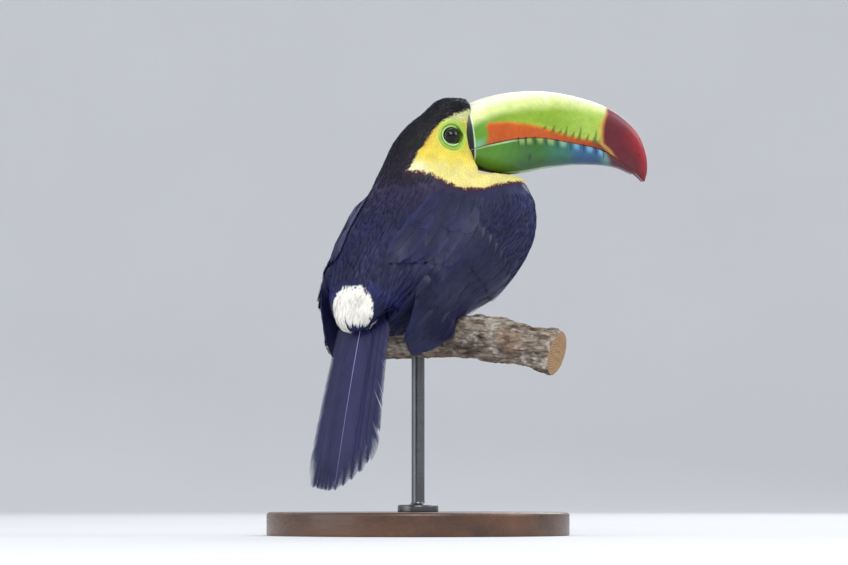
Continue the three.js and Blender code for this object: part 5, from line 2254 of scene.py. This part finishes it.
# ---------------------------------------------------------------- the perch and the stand
@dataclass
class Perch:
    """The cut length of branch that the bird grips."""

    left: float = -70.0
    right: float = 106.0
    radius: float = 14.0
    up: float = 136.0
    rows: int = 420
    sides: int = 150
    knots: tuple[tuple[float, float, float, float, float], ...] = (
        (-12, 74, 136, 7, 2.2), (10, -58, 144, 6, 1.8), (4, 92, 118, 5, 1.6))

    def axis(self, right: np.ndarray) -> tuple[np.ndarray, np.ndarray]:
        """The branch's line.

        Args:
            right: Places from left to right.

        Returns:
            The middle line and the radius there.
        """
        beyond = np.clip(np.abs(right) - 35, 0, None) / 71
        fall = np.where(right > 0, 13.0, -3.9)
        line = np.stack([at(9 * b**1.3, r, self.up - f * b**1.5) for b, r, f in zip(beyond, right, fall)])
        return line, self.radius * (1 + 0.09 * beyond * np.sin(0.13 * right))

    def build(self) -> tuple[bpy.types.Object, bpy.types.Object]:
        """The bark and the two sawn ends.

        Returns:
            The bark, and both ends as one piece.
        """
        right = np.linspace(self.left, self.right, self.rows)
        line, radius = self.axis(right)
        points, quads = tube(line, radius, self.sides)
        centre = np.repeat(line, self.sides, 0)
        out = unit(points - centre)
        stretched = points * np.array([0.3, 1, 1])
        ribs = np.abs(waver(stretched, 5.5, 51))
        plates = waver(points, 17, 52)
        grain = waver(stretched, 1.9, 53)
        grip = ramp(34, 42, np.abs(np.repeat(right, self.sides)))
        flakes = np.clip(plates * 1.6 - 0.3, 0, 1) * ramp(0.25, 0.6, ribs)
        lumps = np.abs(waver(points * np.array([0.7, 1, 1]), 9.5, 54))
        relief = (0.9 * ribs - 0.5 + 0.7 * flakes + 0.6 * lumps) * (0.35 + 0.65 * grip) + 0.28 * grain
        knots = sum(
            height * np.exp(-(np.linalg.norm(points - at(f, r, u), axis=1) / size) ** 2)
            for f, r, u, size, height in self.knots)
        edge = np.minimum(np.repeat(right, self.sides) - self.left, self.right - np.repeat(right, self.sides))
        worn = ramp(0, 1.6, edge)
        points = points + out * ((relief + knots) * worn - 0.5 * (1 - worn))[:, None]
        bark = mesh_piece("perch_bark", points, quads)
        ends = [self.sawn_end(line[0], radius[0], line[0] - line[4], points[:self.sides]),
                self.sawn_end(line[-1], radius[-1], line[-1] - line[-5], points[-self.sides:])]
        return bark, mesh_piece("perch_ends", *joined(ends))

    def sawn_end(self, centre: np.ndarray, radius: float, away: np.ndarray, rim: np.ndarray) -> tuple:
        """One end's face, from its rim in to the pith, marked by the saw.

        Args:
            centre: The pith.
            radius: The branch's radius there.
            away: The direction out of the end.
            rim: The bark's last ring.

        Returns:
            The vertices and faces.
        """
        away = unit(away)
        steps = np.linspace(0, 1, 30)[:, None, None]
        flat = rim[None] * (1 - steps) + centre * steps
        rough = waver(flat.reshape(-1, 3), 3, 55).reshape(flat.shape[:2])
        saw = 0.14 * np.sin(flat @ np.array([0.0, 2.1, 4.6])) + 0.12 * rough
        ridge = 0.08 * np.sin(steps[..., 0] * radius * 5.2)
        inner = np.sin(np.clip(steps[..., 0] * 4, 0, math.pi / 2))
        flat = flat + away * ((saw + ridge + 0.15) * inner)[..., None]
        i, j = np.meshgrid(np.arange(29), np.arange(self.sides), indexing="ij")
        k = (j + 1) % self.sides
        first, second = i * self.sides + j, i * self.sides + k
        quads = np.stack([first, second, second + self.sides, first + self.sides], -1).reshape(-1, 4)
        corners = flat.reshape(-1, 3)[quads[0]]
        outward = np.cross(corners[2] - corners[0], corners[3] - corners[1]) @ away > 0
        return flat.reshape(-1, 3), quads if outward else quads[:, ::-1]


@dataclass
class Stand:
    """The round base with its rod and flange, turned about the upright axis."""

    base_radius: float = 104.0
    base_height: float = 16.0
    bevel: float = 2.5
    rod_radius: float = 4.5
    rod_top: float = 131.0
    flange_radius: float = 14.0
    flange_height: float = 5.0
    sides: int = 160

    def turned(self, name: str, profile: list[tuple[float, float]]) -> bpy.types.Object:
        """A turned piece with crisp edges, from its outline's radii and heights.

        Args:
            name: The name of the piece.
            profile: Radii and heights.

        Returns:
            The piece.
        """
        piece = turned_piece(name, np.array(profile, float), self.sides)
        pick(piece)
        bpy.ops.object.shade_smooth_by_angle(angle=math.radians(35))
        return piece

    def rounded(
        self, radius: float, height: float, bevel: float, low: float = 0.0
    ) -> list[tuple[float, float]]:
        """A disc's outline with rounded edges, from its underside's middle to its top's.

        Args:
            radius: The disc's radius.
            height: Its thickness.
            bevel: The radius of its upper edge.
            low: The height of its underside.

        Returns:
            Radii and heights.
        """
        turn = [math.radians(90 * step / 8) for step in range(9)]
        small = bevel * 0.4
        lower = [(radius - small + small * math.sin(t), low + small - small * math.cos(t)) for t in turn]
        centre = (radius - bevel, low + height - bevel)
        upper = [(centre[0] + bevel * math.cos(t), centre[1] + bevel * math.sin(t)) for t in turn]
        inner = [(radius * share, low + height) for share in (0.9, 0.75, 0.5, 0.25)]
        return [(0, low), (radius * 0.5, low)] + lower + upper + inner + [(0, low + height)]

    def build(self) -> tuple[bpy.types.Object, bpy.types.Object]:
        """The base, and the rod with its flange.

        Returns:
            The two pieces.
        """
        base = self.turned("display_base", self.rounded(self.base_radius, self.base_height, self.bevel))
        start = self.base_height + 0.02
        flange = self.rounded(self.flange_radius, self.flange_height, 1.4, start)[:-5]
        collar = start + self.flange_height
        fillet = [(self.rod_radius + 2.4 * (1 - math.sin(t)), collar + 2.4 * (1 - math.cos(t)))
                  for t in [math.radians(90 * step / 6) for step in range(7)]]
        shank = [(self.rod_radius, height) for height in (60, 100, self.rod_top)]
        rod = self.turned("display_rod", flange + fillet + shank + [(0, self.rod_top)])
        return base, rod


# ---------------------------------------------------------------- the studio
@dataclass
class Studio:
    """The pale sweep, the soft lights and the camera."""

    towards_camera: tuple[float, float, float] = (-0.5436, 0.8371, -0.061)
    target: tuple[float, float, float] = (-0.0034, -0.0023, 0.174)
    distance: float = 2.4
    lens: float = 147.7

    def build(self) -> None:
        """Makes everything that is not part of the object."""
        self.sweep()
        self.lamp("key", (-1.2, 1.7, 2.3), 1.5, 50, (1.0, 0.985, 0.96))
        self.lamp("rim", (-1.9, -1.2, 1.5), 1.1, 14, (0.9, 0.95, 1.0))
        self.lamp("fill", (1.6, 2.4, 0.9), 2.0, 22, (0.92, 0.96, 1.0))
        self.lamp("front", (0.4, -2.4, 1.8), 1.8, 30, (1.0, 1.0, 1.0))
        world = bpy.data.worlds.new("soft_sky")
        bpy.context.scene.world = world
        world.use_nodes = True
        world.node_tree.nodes["Background"].inputs[0].default_value = (0.93, 0.96, 1.0, 1.0)
        world.node_tree.nodes["Background"].inputs[1].default_value = 0.75
        bpy.context.scene.view_settings.view_transform = "Standard"
        self.camera()

    def sweep(self) -> None:
        """The floor, which rises all round into a wall."""
        outline = [(0.0, 0.0), (0.4, 0.0), (1.2, 0.0), (2.4, 0.0), (3.2, 0.0)]
        outline += [(3.2 + 1.4 * math.sin(t), 1.4 - 1.4 * math.cos(t))
                    for t in [math.radians(90 * step / 20) for step in range(1, 21)]]
        outline += [(4.6, 2.6)]
        floor = turned_piece("sweep", np.array(outline) / MM, 96, 0.01)
        edit_whole(floor, lambda: bpy.ops.mesh.flip_normals())
        floor.data.materials.append(Paper().material())

    def lamp(self, name: str, place: tuple[float, float, float], size: float, power: float,
             colour: tuple[float, float, float]) -> None:
        """A square soft light turned to the model.

        Args:
            name: Its name.
            place: Where it hangs, in metres.
            size: Its width.
            power: Its strength in watts.
            colour: Its colour.
        """
        light = bpy.data.lights.new(name, "AREA")
        light.size, light.energy, light.color = size, power, colour
        lamp = bpy.data.objects.new(name, light)
        lamp.location = place
        lamp.rotation_euler = (Vector(self.target) - Vector(place)).to_track_quat("-Z", "Y").to_euler()
        bpy.context.scene.collection.objects.link(lamp)

    def camera(self) -> None:
        """The camera, low behind the bird's right side."""
        back = Vector(self.towards_camera)
        data = bpy.data.cameras.new("camera")
        data.lens = self.lens
        data.sensor_width = 36.0
        camera = bpy.data.objects.new("camera", data)
        camera.location = Vector(self.target) + back * self.distance
        camera.rotation_euler = (-back).to_track_quat("-Z", "Y").to_euler()
        bpy.context.scene.collection.objects.link(camera)
        bpy.context.scene.camera = camera


# ---------------------------------------------------------------- the whole model
@dataclass(frozen=True)
class Tract:
    """One tract of small feathers: its piece, its marks, its tufts and its finish."""

    name: str
    marks: tuple[Mark, ...]
    tuft: Tuft
    slot: str
    finish: str


TRACTS = (
    Tract("coat_face", (Mark.FACE,), Tuft(0.8, 4.2, 0.8, 3, 3, 0.3, 0.15, 6), "plumage_face", "face"),
    Tract("coat_band", (Mark.BAND,), Tuft(0.7, 2.9, 0.6, 3, 3, 0.35, 0.15, 8), "plumage_face", "face"),
    Tract("coat_cap", (Mark.CAP,), Tuft(1.25, 6.0, 1.4, 4, 3, 0.6, 0.2, 6), "plumage_black", "black"),
    Tract("coat_back", (Mark.BACK,), Tuft(2.2, 15.0, 5.0, 8, 4, 0.6, 0.3, 4), "plumage_black", "black"),
    Tract("coat_breast", (Mark.BREAST,), Tuft(2.2, 14.0, 4.2, 7, 4, 0.9, 0.3, 6), "plumage_black", "black"),
    Tract("coat_wing", (Mark.WING,), Tuft(2.3, 14.0, 6.0, 8, 4, 0.55, 0.3, 3), "plumage_black", "black"),
    Tract("coat_thigh", (Mark.THIGH,), Tuft(1.9, 9.0, 2.6, 5, 3, 1.2, 0.3, 9), "plumage_black", "black"),
    Tract("coat_white", (Mark.WHITE,), Tuft(1.5, 9.5, 2.8, 7, 4, 1.6, 0.3, 8), "plumage_face", "white"),
    Tract("coat_red", (Mark.RED,), Tuft(1.9, 12.0, 3.6, 7, 4, 1.5, 0.3, 8), "plumage_face", "face"),
)


class Toucan:
    """The bird: its skin, coat, long feathers, bill, eyes and feet."""

    # The skin is painted darker than its coat: painted shade under the feathers.
    skin_shade: float = 0.8
    bare_wing_share: float = 0.44
    wing_gap: float = 2.6

    def __init__(self, frame: dict) -> None:
        """Prepares the finishes.

        Args:
            frame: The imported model.
        """
        self.frame = frame
        self.shells: dict[int, BVHTree] = {}
        self.shares = {"coat_face": self.face_share, "coat_back": self.back_share,
                       "coat_breast": self.back_share, "coat_wing": self.back_share}
        self.finishes = {
            "black": Plumage("black_plumage").material(),
            "flight": Plumage("flight_feathers", (0.36, 0.5), 0.12, (110, 125, 255), 0.16, 0.3).material(),
            "face": Plumage("yellow_plumage", (0.55, 0.7), 0.15, (255, 250, 210), 0.09, 0.3).material(),
            "white": Plumage("white_plumage", (0.6, 0.75), 0.2, (255, 255, 255), 0.05, 0.3).material(),
        }

    def build(self) -> None:
        """Builds and dresses every piece of the bird."""
        skin, surface = Skin().build(self.frame)
        on_wing = self.on_wing(surface)
        kinds = MARKS.kinds(surface.centres, surface.normals, on_wing)
        corner_kinds = np.zeros(len(surface.points), int)
        corner_kinds[surface.faces.ravel()] = np.repeat(kinds, 4)
        paint(skin, MARKS.colours(surface.points, corner_kinds) * self.skin_shade)
        store(skin, "tone", np.zeros(len(surface.points)))
        settle_in(skin, "plumage_black", self.finishes["black"], *Skin.flesh)
        coat = Coat(surface, Lie())
        back, _ = WING.of(surface.centres)
        hidden = (kinds == Mark.WING.value) & (back > self.bare_wing_share * WING.length)
        for tract in TRACTS:
            wanted = np.isin(kinds, [mark.value for mark in tract.marks]) & ~hidden
            piece = coat.grow(tract.name, wanted, kinds, tract.tuft, self.shares.get(tract.name))
            settle_in(piece, tract.slot, self.finishes[tract.finish])
        for piece in FoldedWings(surface, self.shells).build():
            settle_in(piece, "flight_feathers", self.finishes["flight"])
        vanes, shafts = Tail(surface).build()
        settle_in(vanes, "flight_feathers", self.finishes["flight"], "tail")
        settle_in(shafts, "flight_feathers", self.finishes["flight"])
        upper, lower = Bill().build()
        horn = Horn("bill_horn").material()
        settle_in(upper, "bill", horn, "bill_upper")
        settle_in(lower, "bill", horn, "bill_lower")
        self.eyes_and_feet(surface)

    @staticmethod
    def face_share(roots: np.ndarray) -> np.ndarray:
        """The face's feathers are shortest beside its borders."""
        inside, over = MARKS.edges(HEAD.of(roots))
        return 0.6 + 0.4 * ramp(0, 6, np.minimum(inside, over))

    @staticmethod
    def back_share(roots: np.ndarray) -> np.ndarray:
        """The body's feathers are short at the neck and grow longer away from it.

        Args:
            roots: Where the feathers start.

        Returns:
            A share of the full size for each.
        """
        neck = 0.5 + 0.5 * ramp(22, 60, np.linalg.norm(roots - at(18, 5, 258), axis=1))
        rump = 0.4 + 0.6 * ramp(17, 34, np.linalg.norm(roots - at(-85, 0, 155), axis=1))
        return np.minimum(neck, rump)

    def on_wing(self, surface: Surface) -> np.ndarray:
        """Finds the skin's faces on a folded wing, and keeps each wing's solid in shells.

        Args:
            surface: The skin's surface.

        Returns:
            True for each face that lies on a wing.
        """
        close = np.zeros(len(surface.centres), bool)
        for side, name in ((1, "wing_right"), (-1, "wing_left")):
            mesh = self.frame["nodes"][name].data
            flat = np.zeros(len(mesh.vertices) * 3, np.float32)
            mesh.vertices.foreach_get("co", flat)
            corners = [tuple(polygon.vertices) for polygon in mesh.polygons]
            tree = BVHTree.FromPolygons((flat.reshape(-1, 3) / MM).tolist(), corners)
            self.shells[side] = tree
            gaps = [tree.find_nearest(centre)[3] for centre in surface.centres.tolist()]
            close |= np.array(gaps) < self.wing_gap
        return close

    def eyes_and_feet(self, surface: Surface) -> None:
        """The eyes with their lids, the feet and the claws.

        Args:
            surface: The skin's surface.
        """
        wet = Wet("wet_eye").material()
        bare = Leathery("bare_face_skin").material()
        scales = Leathery("scaled_legs", 1400, 0.2, (0.38, 0.5)).material()
        claws = Leathery("claw_horn", 500, 0.08, (0.24, 0.36), 0.0).material()
        for side, word in ((1, "right"), (-1, "left")):
            ball, lids = Eye(surface, side, word).build()
            settle_in(ball, "eye", wet, "eye_" + word)
            settle_in(lids, "plumage_face", bare)
            for piece, node in Foot(side, word).build():
                foot = node.startswith("foot")
                settle_in(piece, "leg_skin" if foot else "claw", scales if foot else claws, node)


def dress_stand() -> None:
    """The perch, the rod and the base."""
    bark, ends = Perch().build()
    settle_in(bark, "bark", Bark().material(), "perch")
    settle_in(ends, "bark", CutWood().material())
    base, rod = Stand().build()
    settle_in(base, "stand_wood", StainedWood().material(), "stand_base")
    settle_in(rod, "stand_metal", Metal("dark_metal").material(), "stand_rod")


def main() -> None:
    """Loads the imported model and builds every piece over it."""
    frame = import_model()
    Toucan(frame).build()
    dress_stand()
    Studio().build()


if __name__ == "__main__":
    main()
